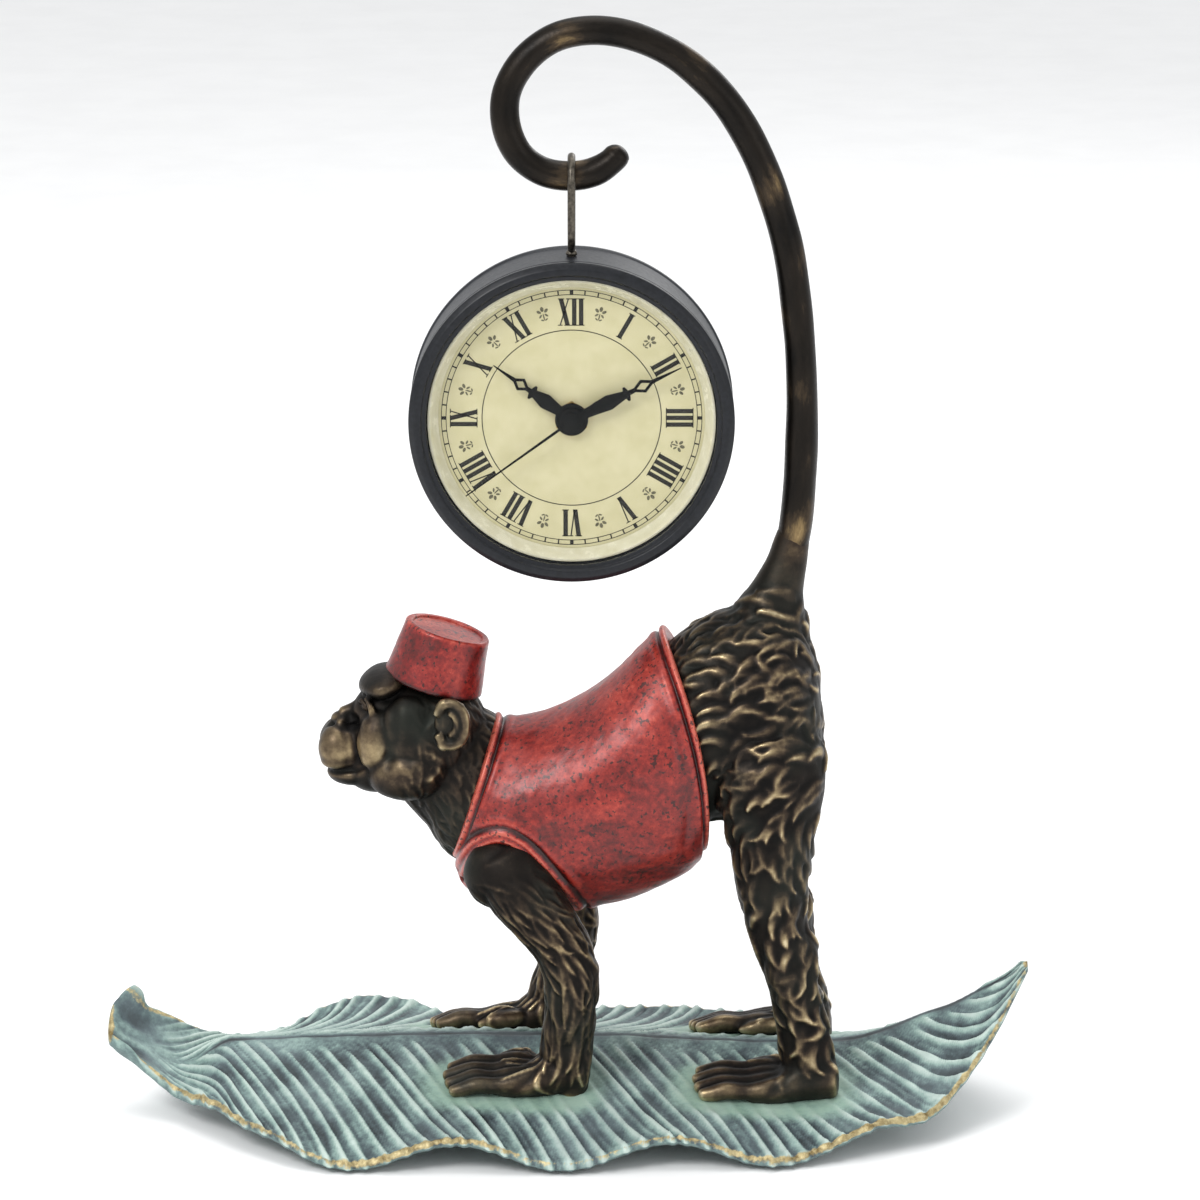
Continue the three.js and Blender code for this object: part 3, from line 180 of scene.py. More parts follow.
def rounded(outline, radii):
    """A closed outline with each corner turned on its own radius; 0 leaves a corner sharp."""
    p = np.asarray(outline, float)
    out = []
    for i, radius in enumerate(radii):
        before, here, after = p[i - 1], p[i], p[(i + 1) % len(p)]
        if radius == 0:
            out.append(here)
            continue
        back, on = unit(before - here), unit(after - here)
        half = math.acos(float(np.clip(back @ on, -1, 1))) / 2
        reach = radius / math.tan(half)
        centre = here + unit(back + on) * radius / math.sin(half)
        start, end = here + back * reach - centre, here + on * reach - centre
        for t in np.linspace(0, 1, CORNER_STEPS + 1):
            out.append(centre + radius * unit(start * (1 - t) + end * t))
    return np.array(out)


def turned(profile, sides):
    """A closed profile of (radius, height) turned about Z."""
    turn = np.linspace(0, TURN, sides, endpoint=False)[:, None]
    radius, height = np.asarray(profile, float).T
    return band(np.stack([radius * np.cos(turn), radius * np.sin(turn), height + 0 * turn], -1))


def turned_disc(profile, sides):
    """A solid of revolution about Z: the profile starts and ends on the axis, which is left off."""
    turn = np.linspace(0, TURN, sides, endpoint=False)
    radius, height = np.asarray(profile, float).T[..., None]
    return loft(np.stack([radius * np.cos(turn), radius * np.sin(turn), height + 0 * turn], -1))


def plate(corners, low, high):
    """A flat plate between two heights, over corners that go round its middle."""
    c = np.asarray(corners, float)
    rings = [np.column_stack([c, np.full(len(c), z)]) for z in (low, high)]
    return loft(np.array(rings))


# ---- modelling in wax: melting pieces together, smoothing, pressing and combing ----

def to_mesh(name, shape):
    points, quads, tris = shape
    mesh = bpy.data.meshes.new(name)
    mesh.from_pydata((points * MM).tolist(), [], quads.tolist() + tris.tolist())
    return mesh


def from_mesh(mesh):
    points = np.empty(len(mesh.vertices) * 3)
    mesh.vertices.foreach_get("co", points)
    starts = np.empty(len(mesh.polygons), int)
    sizes = np.empty(len(mesh.polygons), int)
    corners = np.empty(len(mesh.loops), int)
    mesh.polygons.foreach_get("loop_start", starts)
    mesh.polygons.foreach_get("loop_total", sizes)
    mesh.loops.foreach_get("vertex_index", corners)
    quads = corners[starts[sizes == 4][:, None] + np.arange(4)]
    # what isn't a quad is split into triangles
    mesh.calc_loop_triangles()
    tris = np.empty(len(mesh.loop_triangles) * 3, int)
    owner = np.empty(len(mesh.loop_triangles), int)
    mesh.loop_triangles.foreach_get("vertices", tris)
    mesh.loop_triangles.foreach_get("polygon_index", owner)
    return points.reshape(-1, 3) / MM, quads, tris.reshape(-1, 3)[sizes[owner] != 4]


def through_modifier(shape, kind, other=None, **settings):
    """Runs a shape through one of Blender's modifiers."""
    made = bpy.data.objects.new("work", to_mesh("work", shape))
    bpy.context.collection.objects.link(made)
    modifier = made.modifiers.new("work", kind)
    if other is not None:
        tool = bpy.data.objects.new("tool", to_mesh("tool", other))
        bpy.context.collection.objects.link(tool)
        modifier.object = tool
    for key, value in settings.items():
        setattr(modifier, key, value)
    evaluated = made.evaluated_get(bpy.context.evaluated_depsgraph_get())
    result = from_mesh(evaluated.to_mesh())
    evaluated.to_mesh_clear()
    bpy.data.objects.remove(made)
    if other is not None:
        bpy.data.objects.remove(tool)
    return result


def melted(shapes, grain, smoothing):
    """Overlapping pieces joined into one skin with softened seams."""
    shape = through_modifier(
        together(*shapes), "REMESH", mode="VOXEL", voxel_size=grain * MM, adaptivity=0
    )
    return smoothed(shape, smoothing)


def links(shape):
    """Both ends of every edge, each edge both ways round."""
    _, quads, tris = shape
    ends = [quads[:, [i, (i + 1) % 4]] for i in range(4)] + [tris[:, [i, (i + 1) % 3]] for i in range(3)]
    one = np.concatenate(ends)
    both = np.concatenate([one, one[:, ::-1]])
    return both[:, 0], both[:, 1]


def averaged(values, ends, count, rounds, share=0.5):
    """Values over the points, each blended with its neighbours' mean."""
    start, end = ends
    degree = np.maximum(np.bincount(start, minlength=count), 1)
    v = values.reshape(count, -1).astype(float)
    for _ in range(rounds):
        mean = np.stack([np.bincount(start, v[end, k], count) / degree for k in range(v.shape[1])], -1)
        v = v + share * (mean - v)
    return v.reshape(values.shape)


def smoothed(shape, rounds):
    """Smooths without shrinking: each step in is followed by a slightly larger step out."""
    points, quads, tris = shape
    ends = links(shape)
    for _ in range(rounds):
        points = averaged(points, ends, len(points), 1, 0.55)
        points = averaged(points, ends, len(points), 1, -0.57)
    return averaged(points, ends, len(points), 2, 0.5), quads, tris


def normals_of(shape):
    points, quads, tris = shape
    a = points[quads]
    flow = np.cross(a[:, 2] - a[:, 0], a[:, 3] - a[:, 1])
    t = points[tris]
    small = np.cross(t[:, 1] - t[:, 0], t[:, 2] - t[:, 0])
    total = np.zeros_like(points)
    for k in range(3):
        for faces, weight in ((quads, flow[:, k]), (tris, small[:, k])):
            for corner in range(faces.shape[1]):
                total[:, k] += np.bincount(faces[:, corner], weight, len(points))
    return unit(total)


def pushed(shape, height):
    """The skin moved along its own normals."""
    points, quads, tris = shape
    return points + normals_of(shape) * np.asarray(height)[:, None], quads, tris


def near(points, centre, reach):
    """1 at a centre, fading over a reach given along x, y and z."""
    return np.exp(-((((points - np.asarray(centre)) / np.asarray(reach)) ** 2).sum(-1)))


def off_line(points, line):
    """The distance from points to an open line of points, in as many axes as the line has."""
    line = np.asarray(line, float)
    best = np.full(len(points), 1e9)
    for a, b in zip(line[:-1], line[1:]):
        t = np.clip(((points - a) @ (b - a)) / ((b - a) @ (b - a)), 0, 1)
        best = np.minimum(best, np.linalg.norm(points - a - t[:, None] * (b - a), axis=1))
    return best


def ripple(points, length, seed):
    """A soft random unevenness between about -1 and 1, its swells a given length apart."""
    random = np.random.default_rng(seed)
    total = np.zeros(len(points))
    for _ in range(7):
        way = unit(random.normal(size=3)) * TURN / (length * random.uniform(0.8, 1.6))
        total += np.sin(points @ way + random.uniform(0, TURN))
    return total / 3.2


def combed(shape, flow, cover, length, width, spacing, seed, stray, bends, droop):
    """Locks of modelled hair over a skin: how high, from 0 to 1, the hair stands at each point.
    Each lock is a tapering arc, higher at its tip, that lies over the root of the next. Bends is the
    arcs' radius as a share of their length, and droop the share of them that curl downwards."""
    points = shape[0]
    normals = normals_of(shape)
    random = np.random.default_rng(seed)
    cell = np.floor(points / spacing + random.uniform(0, 1, 3)).astype(int)
    order = random.permutation(len(points))
    _, first = np.unique(cell[order], axis=0, return_index=True)
    roots = order[np.sort(first)]
    roots = roots[cover[roots] > 0.25]
    height = np.zeros(len(points))
    for root in roots:
        long = length * random.uniform(0.75, 1.25)
        wide = width * random.uniform(0.8, 1.2)
        bend = long * random.uniform(*bends)
        offset = points - points[root]
        close = np.nonzero((np.abs(offset).max(1) < long * 1.1) & (normals @ normals[root] > 0.05))[0]
        n = normals[root]
        t = unit(flow[root] - n * (flow[root] @ n))
        b = np.cross(n, t)
        downwards = -1 if b[2] > 0 else 1
        hand = downwards if random.random() < droop else -downwards
        veer = random.normal() * stray - hand * 0.3 / bends[0]
        t, b = t * math.cos(veer) + b * math.sin(veer), b * math.cos(veer) - t * math.sin(veer)
        u = offset[close] @ t
        v = offset[close] @ b * hand
        along = bend * np.arctan2(u, bend - v) / long
        across = bend - np.hypot(u, bend - v)
        half = wide / 2 * ease(-0.1, 0.3, along) * np.clip(1 - along, 0, 1) ** 0.55 + 1e-6
        q = across / half
        dome = np.sqrt(np.clip(1 - q * q, 0, 1))
        strands = 1 - 0.3 * (1 - np.abs(np.cos(1.5 * math.pi * q)))
        lock = dome * strands * (0.35 + 0.65 * ease(0, 0.6, along)) * (along > -0.1)
        height[close] = np.maximum(height[close], lock * cover[root])
    return averaged(height, links(shape), len(points), 3)


def wear(shape, extra=0.0):
    """How rubbed each point is, from about 0 in a recess to 1 on a ridge, with extra added on top; the head
    passes its painted highlights and painted shade in extra.
    """
    points = shape[0]
    ends = links(shape)
    normals = normals_of(shape)
    fine = averaged(points, ends, len(points), 8)
    broad = averaged(fine, ends, len(points), 50)
    small = ((points - fine) * normals).sum(1)
    large = ((fine - broad) * normals).sum(1)
    return np.clip(0.38 + 1.7 * small + 0.4 * large + extra, 0, 1)


# ---- finishes ----

def linear(colour):
    """An sRGB hex colour as the linear values that shaders take."""
    channels = [int(colour[i:i + 2], 16) / 255 for i in (1, 3, 5)]
    return [c / 12.92 if c <= 0.04045 else ((c + 0.055) / 1.055) ** 2.4 for c in channels] + [1.0]


def per(mm):
    """The scale that makes a texture's features about this many millimetres across."""
    return 1 / (mm * MM)


def finish(name):
    """A new material: its node tree, its shader and the object's own coordinates, in metres."""
    material = bpy.data.materials.new(name)
    material.use_nodes = True
    tree = material.node_tree
    place = tree.nodes.new("ShaderNodeTexCoord").outputs["Object"]
    return material, tree, tree.nodes["Principled BSDF"], place


def add(tree, kind, sockets, stops=(), **settings):
    """Adds a shader node: its own settings, then its sockets as values or links, then a ramp's stops."""
    node = tree.nodes.new("ShaderNode" + kind)
    for key, value in settings.items():
        setattr(node, key, value)
    for key, value in sockets.items():
        if isinstance(value, bpy.types.NodeSocket):
            tree.links.new(value, node.inputs[key])
        else:
            node.inputs[key].default_value = value
    for i, (place, colour) in enumerate(stops):
        while len(node.color_ramp.elements) <= i:
            node.color_ramp.elements.new(place)
        grey = [colour] * 3 + [1]
        node.color_ramp.elements[i].position = place
        node.color_ramp.elements[i].color = linear(colour) if isinstance(colour, str) else grey
    return node


def wire_up(tree, shader, **sockets):
    """Values and links for the shader's own sockets; underscores stand for spaces."""
    for key, value in sockets.items():
        socket = shader.inputs[key.replace("_", " ")]
        if isinstance(value, bpy.types.NodeSocket):
            tree.links.new(value, socket)
        else:
            socket.default_value = value


def antique_bronze():
    """Cast bronze under a brown-black chemical patina, rubbed back by hand: dark in every recess,
    champagne where a ridge has caught the cloth, with a grey-green cast in the flats."""
    material, tree, shader, place = finish("antique_bronze")
    # the attribute is the rubbing of the casting, and on the head painted highlights and painted shade too
    rubbed = add(tree, "Attribute", {}, attribute_name="rubbed").outputs["Fac"]
    mottle = add(tree, "TexNoise", {"Vector": place, "Scale": per(5), "Detail": 6, "Roughness": 0.65})
    grain = add(tree, "TexNoise", {"Vector": place, "Scale": per(0.7), "Detail": 3})
    uneven = add(tree, "Math", {0: mottle.outputs["Fac"], 1: 0.5}, operation="SUBTRACT")
    patchy = add(tree, "Math", {0: uneven.outputs[0], 1: 0.55, 2: rubbed}, operation="MULTIPLY_ADD")
    colour = add(tree, "ValToRGB", {"Fac": patchy.outputs[0]}, stops=[
        (0.0, "#0d0b0a"), (0.34, "#1f1a16"), (0.52, "#3a3027"), (0.68, "#665743"), (0.84, "#9a8867"),
        (0.99, "#cdbc98"),
    ])
    cool = add(tree, "TexNoise", {"Vector": place, "Scale": per(22), "Detail": 2})
    where = add(tree, "ValToRGB", {"Fac": cool.outputs["Fac"]}, stops=[(0.45, 0.0), (0.7, 0.45)])
    tinted = add(tree, "Mix", {0: where.outputs[0], 6: colour.outputs[0], 7: linear("#30352f")},
                 data_type="RGBA", blend_type="MIX")
    rough = add(tree, "ValToRGB", {"Fac": patchy.outputs[0]}, stops=[(0.2, 0.56), (0.85, 0.34)])
    bump = add(tree, "Bump", {"Height": grain.outputs["Fac"], "Strength": 0.35, "Distance": 0.12 * MM})
    wire_up(tree, shader, Base_Color=tinted.outputs[2], Metallic=0.8, Roughness=rough.outputs[0],
            Normal=bump.outputs[0])
    return material


def tail_bronze():
    """The same bronze, drawn smooth and waxed: near black, with golden streaks rubbed along it."""
    material, tree, shader, place = finish("tail_bronze")
    grain = add(tree, "Attribute", {}, attribute_name="grain").outputs["Vector"]
    rubbed = add(tree, "Attribute", {}, attribute_name="rubbed").outputs["Fac"]
    streak = add(tree, "TexNoise", {"Vector": grain, "Scale": 2.6, "Detail": 5, "Roughness": 0.7})
    fine = add(tree, "TexNoise", {"Vector": place, "Scale": per(0.9), "Detail": 3})
    amount = add(tree, "Math", {0: streak.outputs["Fac"], 1: 0.9, 2: -0.32}, operation="MULTIPLY_ADD")
    both = add(tree, "Math", {0: amount.outputs[0], 1: rubbed}, operation="ADD")
    colour = add(tree, "ValToRGB", {"Fac": both.outputs[0]}, stops=[
        (0.1, "#0f0d0b"), (0.5, "#221d18"), (0.66, "#42372a"), (0.84, "#85704e"), (1.0, "#b9a479"),
    ])
    rough = add(tree, "ValToRGB", {"Fac": fine.outputs["Fac"]}, stops=[(0.3, 0.3), (0.75, 0.46)])
    bump = add(tree, "Bump", {"Height": fine.outputs["Fac"], "Strength": 0.3, "Distance": 0.1 * MM})
    wire_up(tree, shader, Base_Color=colour.outputs[0], Metallic=0.8, Roughness=rough.outputs[0],
            Normal=bump.outputs[0])
    return material


def cold_enamel(name, tone):
    """Brushed-on red enamel over bronze: thin and orange on the high edges, deep crimson where it
    pools, sponged with darker red and flecked with black wax."""
    material, tree, shader, place = finish(name)
    # the attribute is how thin the enamel runs, with painted light as well: painted highlights on the
    # waistcoat's edges, its top and the fez's crown, painted shade in the waistcoat's grooves, its bottom and
    # the fez's foot
    rubbed = add(tree, "Attribute", {}, attribute_name="rubbed").outputs["Fac"]
    cloud = add(tree, "TexNoise", {"Vector": place, "Scale": per(11), "Detail": 5, "Roughness": 0.62})
    sponge = add(tree, "TexNoise", {"Vector": place, "Scale": per(1.6), "Detail": 4, "Roughness": 0.7})
    uneven = add(tree, "Math", {0: cloud.outputs["Fac"], 1: 0.75, 2: -0.37}, operation="MULTIPLY_ADD")
    depth = add(tree, "Math", {0: uneven.outputs[0], 1: rubbed}, operation="ADD")
    dabbed = add(tree, "Math", {0: sponge.outputs["Fac"], 1: 0.9, 2: -0.45}, operation="MULTIPLY_ADD")
    total = add(tree, "Math", {0: dabbed.outputs[0], 1: depth.outputs[0]}, operation="ADD")
    colour = add(tree, "ValToRGB", {"Fac": total.outputs[0]}, stops=[
        (0.05, "#2b0706"), (0.3, "#58100d"), (0.5, tone), (0.72, "#a23225"), (0.95, "#bd5a49"),
    ])
    fleck = add(tree, "TexNoise", {"Vector": place, "Scale": per(1.15), "Detail": 2, "Roughness": 0.5})
    few = add(tree, "TexNoise", {"Vector": place, "Scale": per(9), "Detail": 2})
    gate = add(tree, "Math", {0: few.outputs["Fac"], 1: 0.28, 2: fleck.outputs["Fac"]},
               operation="MULTIPLY_ADD")
    specks = add(tree, "ValToRGB", {"Fac": gate.outputs[0]}, stops=[(0.74, 0.0), (0.8, 0.85)])
    flecked = add(tree, "Mix", {0: specks.outputs[0], 6: colour.outputs[0], 7: linear("#1d0a09")},
                  data_type="RGBA")
    rough = add(tree, "ValToRGB", {"Fac": cloud.outputs["Fac"]}, stops=[(0.3, 0.3), (0.75, 0.46)])
    bump = add(tree, "Bump", {"Height": sponge.outputs["Fac"], "Strength": 0.3, "Distance": 0.25 * MM})
    wire_up(tree, shader, Base_Color=flecked.outputs[2], Metallic=0.15, Roughness=rough.outputs[0],
            Normal=bump.outputs[0], Coat_Weight=0.15, Coat_Roughness=0.3)
    return material


def verdigris():
    """Cast brass with a painted blue-green patina: slate wiped into the grooves, chalky green left
    on the ridges, bare gold along the rubbed edge."""
    material, tree, shader, place = finish("verdigris_brass")
    ridge = add(tree, "Attribute", {}, attribute_name="ridge").outputs["Fac"]
    rim = add(tree, "Attribute", {}, attribute_name="rim").outputs["Fac"]
    pool = add(tree, "Attribute", {}, attribute_name="pool").outputs["Fac"]
    broken = add(tree, "TexNoise", {"Vector": place, "Scale": per(2.4), "Detail": 6, "Roughness": 0.7})
    cloud = add(tree, "TexNoise", {"Vector": place, "Scale": per(16), "Detail": 4})
    uneven = add(tree, "Math", {0: broken.outputs["Fac"], 1: 0.7, 2: -0.35}, operation="MULTIPLY_ADD")
    height = add(tree, "Math", {0: uneven.outputs[0], 1: ridge}, operation="ADD")
    colour = add(tree, "ValToRGB", {"Fac": height.outputs[0]}, stops=[
        (0.02, "#20292c"), (0.24, "#425054"), (0.43, "#687e7c"), (0.6, "#8fa8a0"), (0.88, "#bccdc5"),
    ])
    shade = add(tree, "ValToRGB", {"Fac": cloud.outputs["Fac"]}, stops=[(0.4, 0.0), (0.75, 0.35)])
    greyer = add(tree, "Mix", {0: shade.outputs[0], 6: colour.outputs[0], 7: linear("#78868b")},
                 data_type="RGBA")
    dappled = add(tree, "Math", {0: broken.outputs["Fac"], 1: pool}, operation="MULTIPLY")
    puddle = add(tree, "Math", {0: dappled.outputs[0], 1: 1.1}, operation="MULTIPLY", use_clamp=True)
    greener = add(tree, "Mix", {0: puddle.outputs[0], 6: greyer.outputs[2], 7: linear("#88a892")},
                  data_type="RGBA")
    worn = add(tree, "Math", {0: uneven.outputs[0], 1: 1.5, 2: rim}, operation="MULTIPLY_ADD")
    gold = add(tree, "ValToRGB", {"Fac": worn.outputs[0]}, stops=[(0.5, 0.0), (0.66, 1.0)])
    metal = add(tree, "ValToRGB", {"Fac": broken.outputs["Fac"]},
                stops=[(0.35, "#75633c"), (0.65, "#cbbd92")])
    edged = add(tree, "Mix", {0: gold.outputs[0], 6: greener.outputs[2], 7: metal.outputs[0]},
                data_type="RGBA")
    bare = add(tree, "Math", {0: gold.outputs[0], 1: 0.65, 2: 0.12}, operation="MULTIPLY_ADD")
    bump = add(tree, "Bump", {"Height": broken.outputs["Fac"], "Strength": 0.4, "Distance": 0.3 * MM})
    wire_up(tree, shader, Base_Color=edged.outputs[2], Metallic=bare.outputs[0], Roughness=0.55,
            Normal=bump.outputs[0])
    return material


def speckled(name, dark, light, grain, roughness, metallic=0.0, relief=0.05, **sockets):
    """A plain stock finish with its own fine unevenness of tone and surface; grain in millimetres."""
    material, tree, shader, place = finish(name)
    noise = add(tree, "TexNoise", {"Vector": place, "Scale": per(grain), "Detail": 4, "Roughness": 0.6})
    colour = add(tree, "ValToRGB", {"Fac": noise.outputs["Fac"]}, stops=[(0.35, dark), (0.65, light)])
    low, high = roughness
    rough = add(tree, "ValToRGB", {"Fac": noise.outputs["Fac"]}, stops=[(0.3, low), (0.7, high)])
    bump = add(tree, "Bump", {"Height": noise.outputs["Fac"], "Strength": 0.4, "Distance": relief * MM})
    wire_up(tree, shader, Base_Color=colour.outputs[0], Metallic=metallic, Roughness=rough.outputs[0],
            Normal=bump.outputs[0], **sockets)
    return material


def copper_winding():
    """Enamelled copper wire, wound in even turns: bright lines with dark gaps. The real wire is
    hair-thin, so the turns are drawn at 0.5 mm to show."""
    material, tree, shader, place = finish("copper_winding")
    turns = add(tree, "TexWave", {"Vector": place, "Scale": per(0.5) / 20, "Distortion": 0.4},
                wave_type="BANDS", bands_direction="X")
    colour = add(tree, "ValToRGB", {"Fac": turns.outputs["Fac"]},
                 stops=[(0.2, "#4a2110"), (0.7, "#b8693a")])
    bump = add(tree, "Bump", {"Height": turns.outputs["Fac"], "Strength": 0.6, "Distance": 0.15 * MM})
    wire_up(tree, shader, Base_Color=colour.outputs[0], Metallic=0.9, Roughness=0.3, Normal=bump.outputs[0])
    return material


def cell_wrap():
    """A dry cell's printed sleeve: matt black over most of its length, a copper-coloured end,
    and bare nickel at both poles."""
    material, tree, shader, place = finish("cell_wrap")
    low, high = box_mm("cell")
    split = add(tree, "SeparateXYZ", {0: place})
    along = add(tree, "MapRange", {0: split.outputs[0], 1: low[0] * MM, 2: high[0] * MM})
    colour = add(tree, "ValToRGB", {"Fac": along.outputs[0]}, stops=[
        (0.0, "#9a9a96"), (0.025, "#1c1c1e"), (0.68, "#b0702e"), (0.95, "#b9b9b4"),
    ])
    colour.color_ramp.interpolation = "CONSTANT"
    scuff = add(tree, "TexNoise", {"Vector": place, "Scale": per(2), "Detail": 4})
    rough = add(tree, "ValToRGB", {"Fac": scuff.outputs["Fac"]}, stops=[(0.3, 0.22), (0.7, 0.36)])
    wire_up(tree, shader, Base_Color=colour.outputs[0], Metallic=0.55, Roughness=rough.outputs[0])
    return material


def clear_crystal():
    """A flat pressed-glass crystal: nothing to see but a faint sheen."""
    material, tree, shader, place = finish("clear_crystal")
    haze = add(tree, "TexNoise", {"Vector": place, "Scale": per(30), "Detail": 2})
    rough = add(tree, "ValToRGB", {"Fac": haze.outputs["Fac"]}, stops=[(0.3, 0.02), (0.7, 0.05)])
    wire_up(tree, shader, Base_Color=linear("#2c3234"), Roughness=rough.outputs[0], Alpha=0.04, IOR=1.5)
    return material


BRONZE = antique_bronze()
TAIL_BRONZE = tail_bronze()
WAISTCOAT_RED = cold_enamel("waistcoat_enamel", "#801d17")
FEZ_RED = cold_enamel("fez_enamel", "#7b1613")
VERDIGRIS = verdigris()
# Die-cast case, sprayed satin black: a slate bloom under soft light.
BLACK_PAINT = speckled("satin_black_paint", "#191b20", "#25282e", 1.2, (0.34, 0.46), 0.0, 0.04,
                       Specular_IOR_Level=0.35)
BEZEL_PAINT = speckled("bezel_black_paint", "#111317", "#1a1c21", 1.2, (0.28, 0.4), 0.0, 0.03,
                       Specular_IOR_Level=0.3)
BLACKENED_WIRE = speckled("blackened_wire", "#3c3833", "#6a645a", 1.5, (0.3, 0.45), 0.9)
ZINC = speckled("zinc_plated_steel", "#83868a", "#b3b6b8", 2.0, (0.25, 0.4), 0.95)
NICKEL = speckled("nickel_plated_spring", "#9c9a94", "#c4c2bb", 3.0, (0.18, 0.3), 1.0, 0.02)
SOFT_IRON = speckled("soft_iron_plate", "#5d5f60", "#7d7f80", 1.5, (0.35, 0.5), 0.9)
FELT = speckled("pressed_felt", "#15281d", "#2b4635", 0.5, (0.95, 1.0), 0.0, 0.25)
RUBBER = speckled("moulded_rubber", "#1b1b1b", "#2b2b2a", 0.8, (0.75, 0.9))
ABS = speckled("moulded_black_abs", "#17181a", "#222326", 0.6, (0.45, 0.6), 0.0, 0.06)
ACETAL = speckled("natural_acetal", "#dcdcd4", "#f2f2ec", 1.5, (0.35, 0.45), 0.0, 0.02)
BRASS = speckled("turned_brass", "#9b7a3c", "#c9a65c", 1.0, (0.22, 0.36), 1.0, 0.03)
BOARD = speckled("solder_mask_board", "#1d5130", "#3a8450", 1.2, (0.3, 0.45), 0.0, 0.04)
CREAM = speckled("cream_dial_lacquer", "#cac398", "#d3cca4", 6.0, (0.38, 0.5), 0.0, 0.01)
CREAM_RING = speckled("cream_moulded_ring", "#d3ceb0", "#e0dcc4", 5.0, (0.2, 0.3), 0.0, 0.01)
DIAL_INK = speckled("black_dial_ink", "#15140f", "#26241c", 0.8, (0.5, 0.6))
FLORET_INK = speckled("grey_dial_ink", "#56533f", "#716c55", 0.6, (0.5, 0.6))
HAND_BLACK = speckled("blackened_hand", "#070707", "#101010", 0.8, (0.4, 0.5), 0.0, 0.02,
                      Specular_IOR_Level=0.2)
COPPER = copper_winding()
CELL_WRAP = cell_wrap()
CRYSTAL = clear_crystal()


# ---- putting a piece on its body ----

def piece(name, shape, body, material, slot, replaces, **fields):
    """Makes the piece, with a value at each point for each field, and hangs it on its body."""
    mesh = to_mesh(name, shape)
    mesh.shade_smooth()
    for key, values in fields.items():
        kind = "FLOAT_VECTOR" if values.ndim == 2 else "FLOAT"
        field = mesh.attributes.new(key, kind, "POINT")
        field.data.foreach_set("vector" if values.ndim == 2 else "value", values.astype(np.float32).ravel())
    mesh.materials.append(material)
    made = bpy.data.objects.new(name, mesh)
    bpy.context.collection.objects.link(made)
    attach(made, body)
    if replaces:
        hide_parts(*replaces)
    return made


# ---- where the hands and feet stand on the leaf ----
LIMB_Y = 26
HAND_HEEL, HAND_TIP = 5, -36
FOOT_HEEL, FOOT_TIP = 77, 35.5
FAR_HAND_FORWARD = 5
PRINTS = [
    (HAND_TIP, HAND_HEEL, -LIMB_Y), (HAND_TIP - FAR_HAND_FORWARD, HAND_HEEL - FAR_HAND_FORWARD, LIMB_Y),
    (FOOT_TIP, FOOT_HEEL, -LIMB_Y), (FOOT_TIP, FOOT_HEEL, LIMB_Y),
]
SCREW_PLACES = [
    (HAND_HEEL - 10, -LIMB_Y), (HAND_HEEL - 10 - FAR_HAND_FORWARD, LIMB_Y),
    (FOOT_HEEL - 10, 1 - LIMB_Y), (FOOT_HEEL - 10, LIMB_Y - 1),
]

# ---- the leaf: its form is the frame's own, drawn fine enough for the veins ----
LEAF_LOW, LEAF_HIGH = box_mm("leaf_base")
HALF_LENGTH = LEAF_HIGH[0]
LEAF_HALF_WIDTH = 62
LEAF_THICK = 2.2
LEAF_WAVE = 3.4
RIB_HEIGHT = 22
EDGE_HEIGHT = LEAF_WAVE + LEAF_THICK + 0.6
FRILL_PITCH = 61
FRILL_FADE = [-0.75, -0.56, 0.66, 0.84]
VEIN_PITCH = 5.7
VEIN_SWEEP = 31  # how far along the leaf a vein runs on its way out to the edge
FAR_LOBE_RISE = 8
PAD_PLACES = [(sx * (HALF_LENGTH - 73.5), sy * (LEAF_HALF_WIDTH - 18)) for sx in (-1, 1) for sy in (-1, 1)]
POST_FOOT = 4  # a screw post's foot hangs clear of the table


def over_leaf(pairs):
    return value_along([(share * HALF_LENGTH, value) for share, value in pairs])


rib_height = over_leaf([
    (-1, RIB_HEIGHT + 13), (-0.884, RIB_HEIGHT + 3.5), (-0.749, RIB_HEIGHT - 1), (-0.517, RIB_HEIGHT - 0.5),
    (-0.255, RIB_HEIGHT + 0.5), (0.075, RIB_HEIGHT), (0.464, RIB_HEIGHT - 2), (0.637, RIB_HEIGHT - 0.5),
    (0.749, RIB_HEIGHT + 5), (0.884, RIB_HEIGHT + 13), (1, RIB_HEIGHT + 22),
])
edge_height = over_leaf([
    (-1, RIB_HEIGHT + 6), (-0.884, 17.5), (-0.779, 12.5), (-0.689, EDGE_HEIGHT + 1.4),
    (-0.584, EDGE_HEIGHT), (-0.3, EDGE_HEIGHT), (0, EDGE_HEIGHT), (0.375, EDGE_HEIGHT),
    (0.644, EDGE_HEIGHT + 0.4), (0.772, EDGE_HEIGHT + 3), (0.854, 17), (0.921, 27), (1, RIB_HEIGHT + 21),
])
width_share = over_leaf([
    (-1, 0.115), (-0.929, 0.13), (-0.846, 0.24), (-0.772, 0.43), (-0.689, 0.66), (-0.584, 0.87),
    (-0.412, 0.96), (-0.075, 0.97), (0.262, 0.94), (0.487, 0.89), (0.644, 0.79), (0.772, 0.61),
    (0.869, 0.4), (0.944, 0.2), (1, 0.04),
])


def frill(x, v):
    along = x / HALF_LENGTH
    fade = ease(FRILL_FADE[0], FRILL_FADE[1], along) * (1 - ease(FRILL_FADE[2], FRILL_FADE[3], along))
    phase = np.where(v < 0, -62, -38)
    return -LEAF_WAVE * fade * np.cos(TURN * (x - phase) / FRILL_PITCH)


def leaf_z(x, y):
    """The leaf's top at x and y."""
    x, y = np.asarray(x, float), np.asarray(y, float)
    v = y / (LEAF_HALF_WIDTH * width_share(x))
    share = np.abs(v)
    lobes = FAR_LOBE_RISE * (np.exp(-((x + 52) / 22) ** 2) + np.exp(-((x - 24) / 19) ** 2))
    edge = edge_height(x) + frill(x, v) * share**3 + lobes * (v > 0) * share**4
    return rib_height(x) + (edge - rib_height(x)) * share**0.92


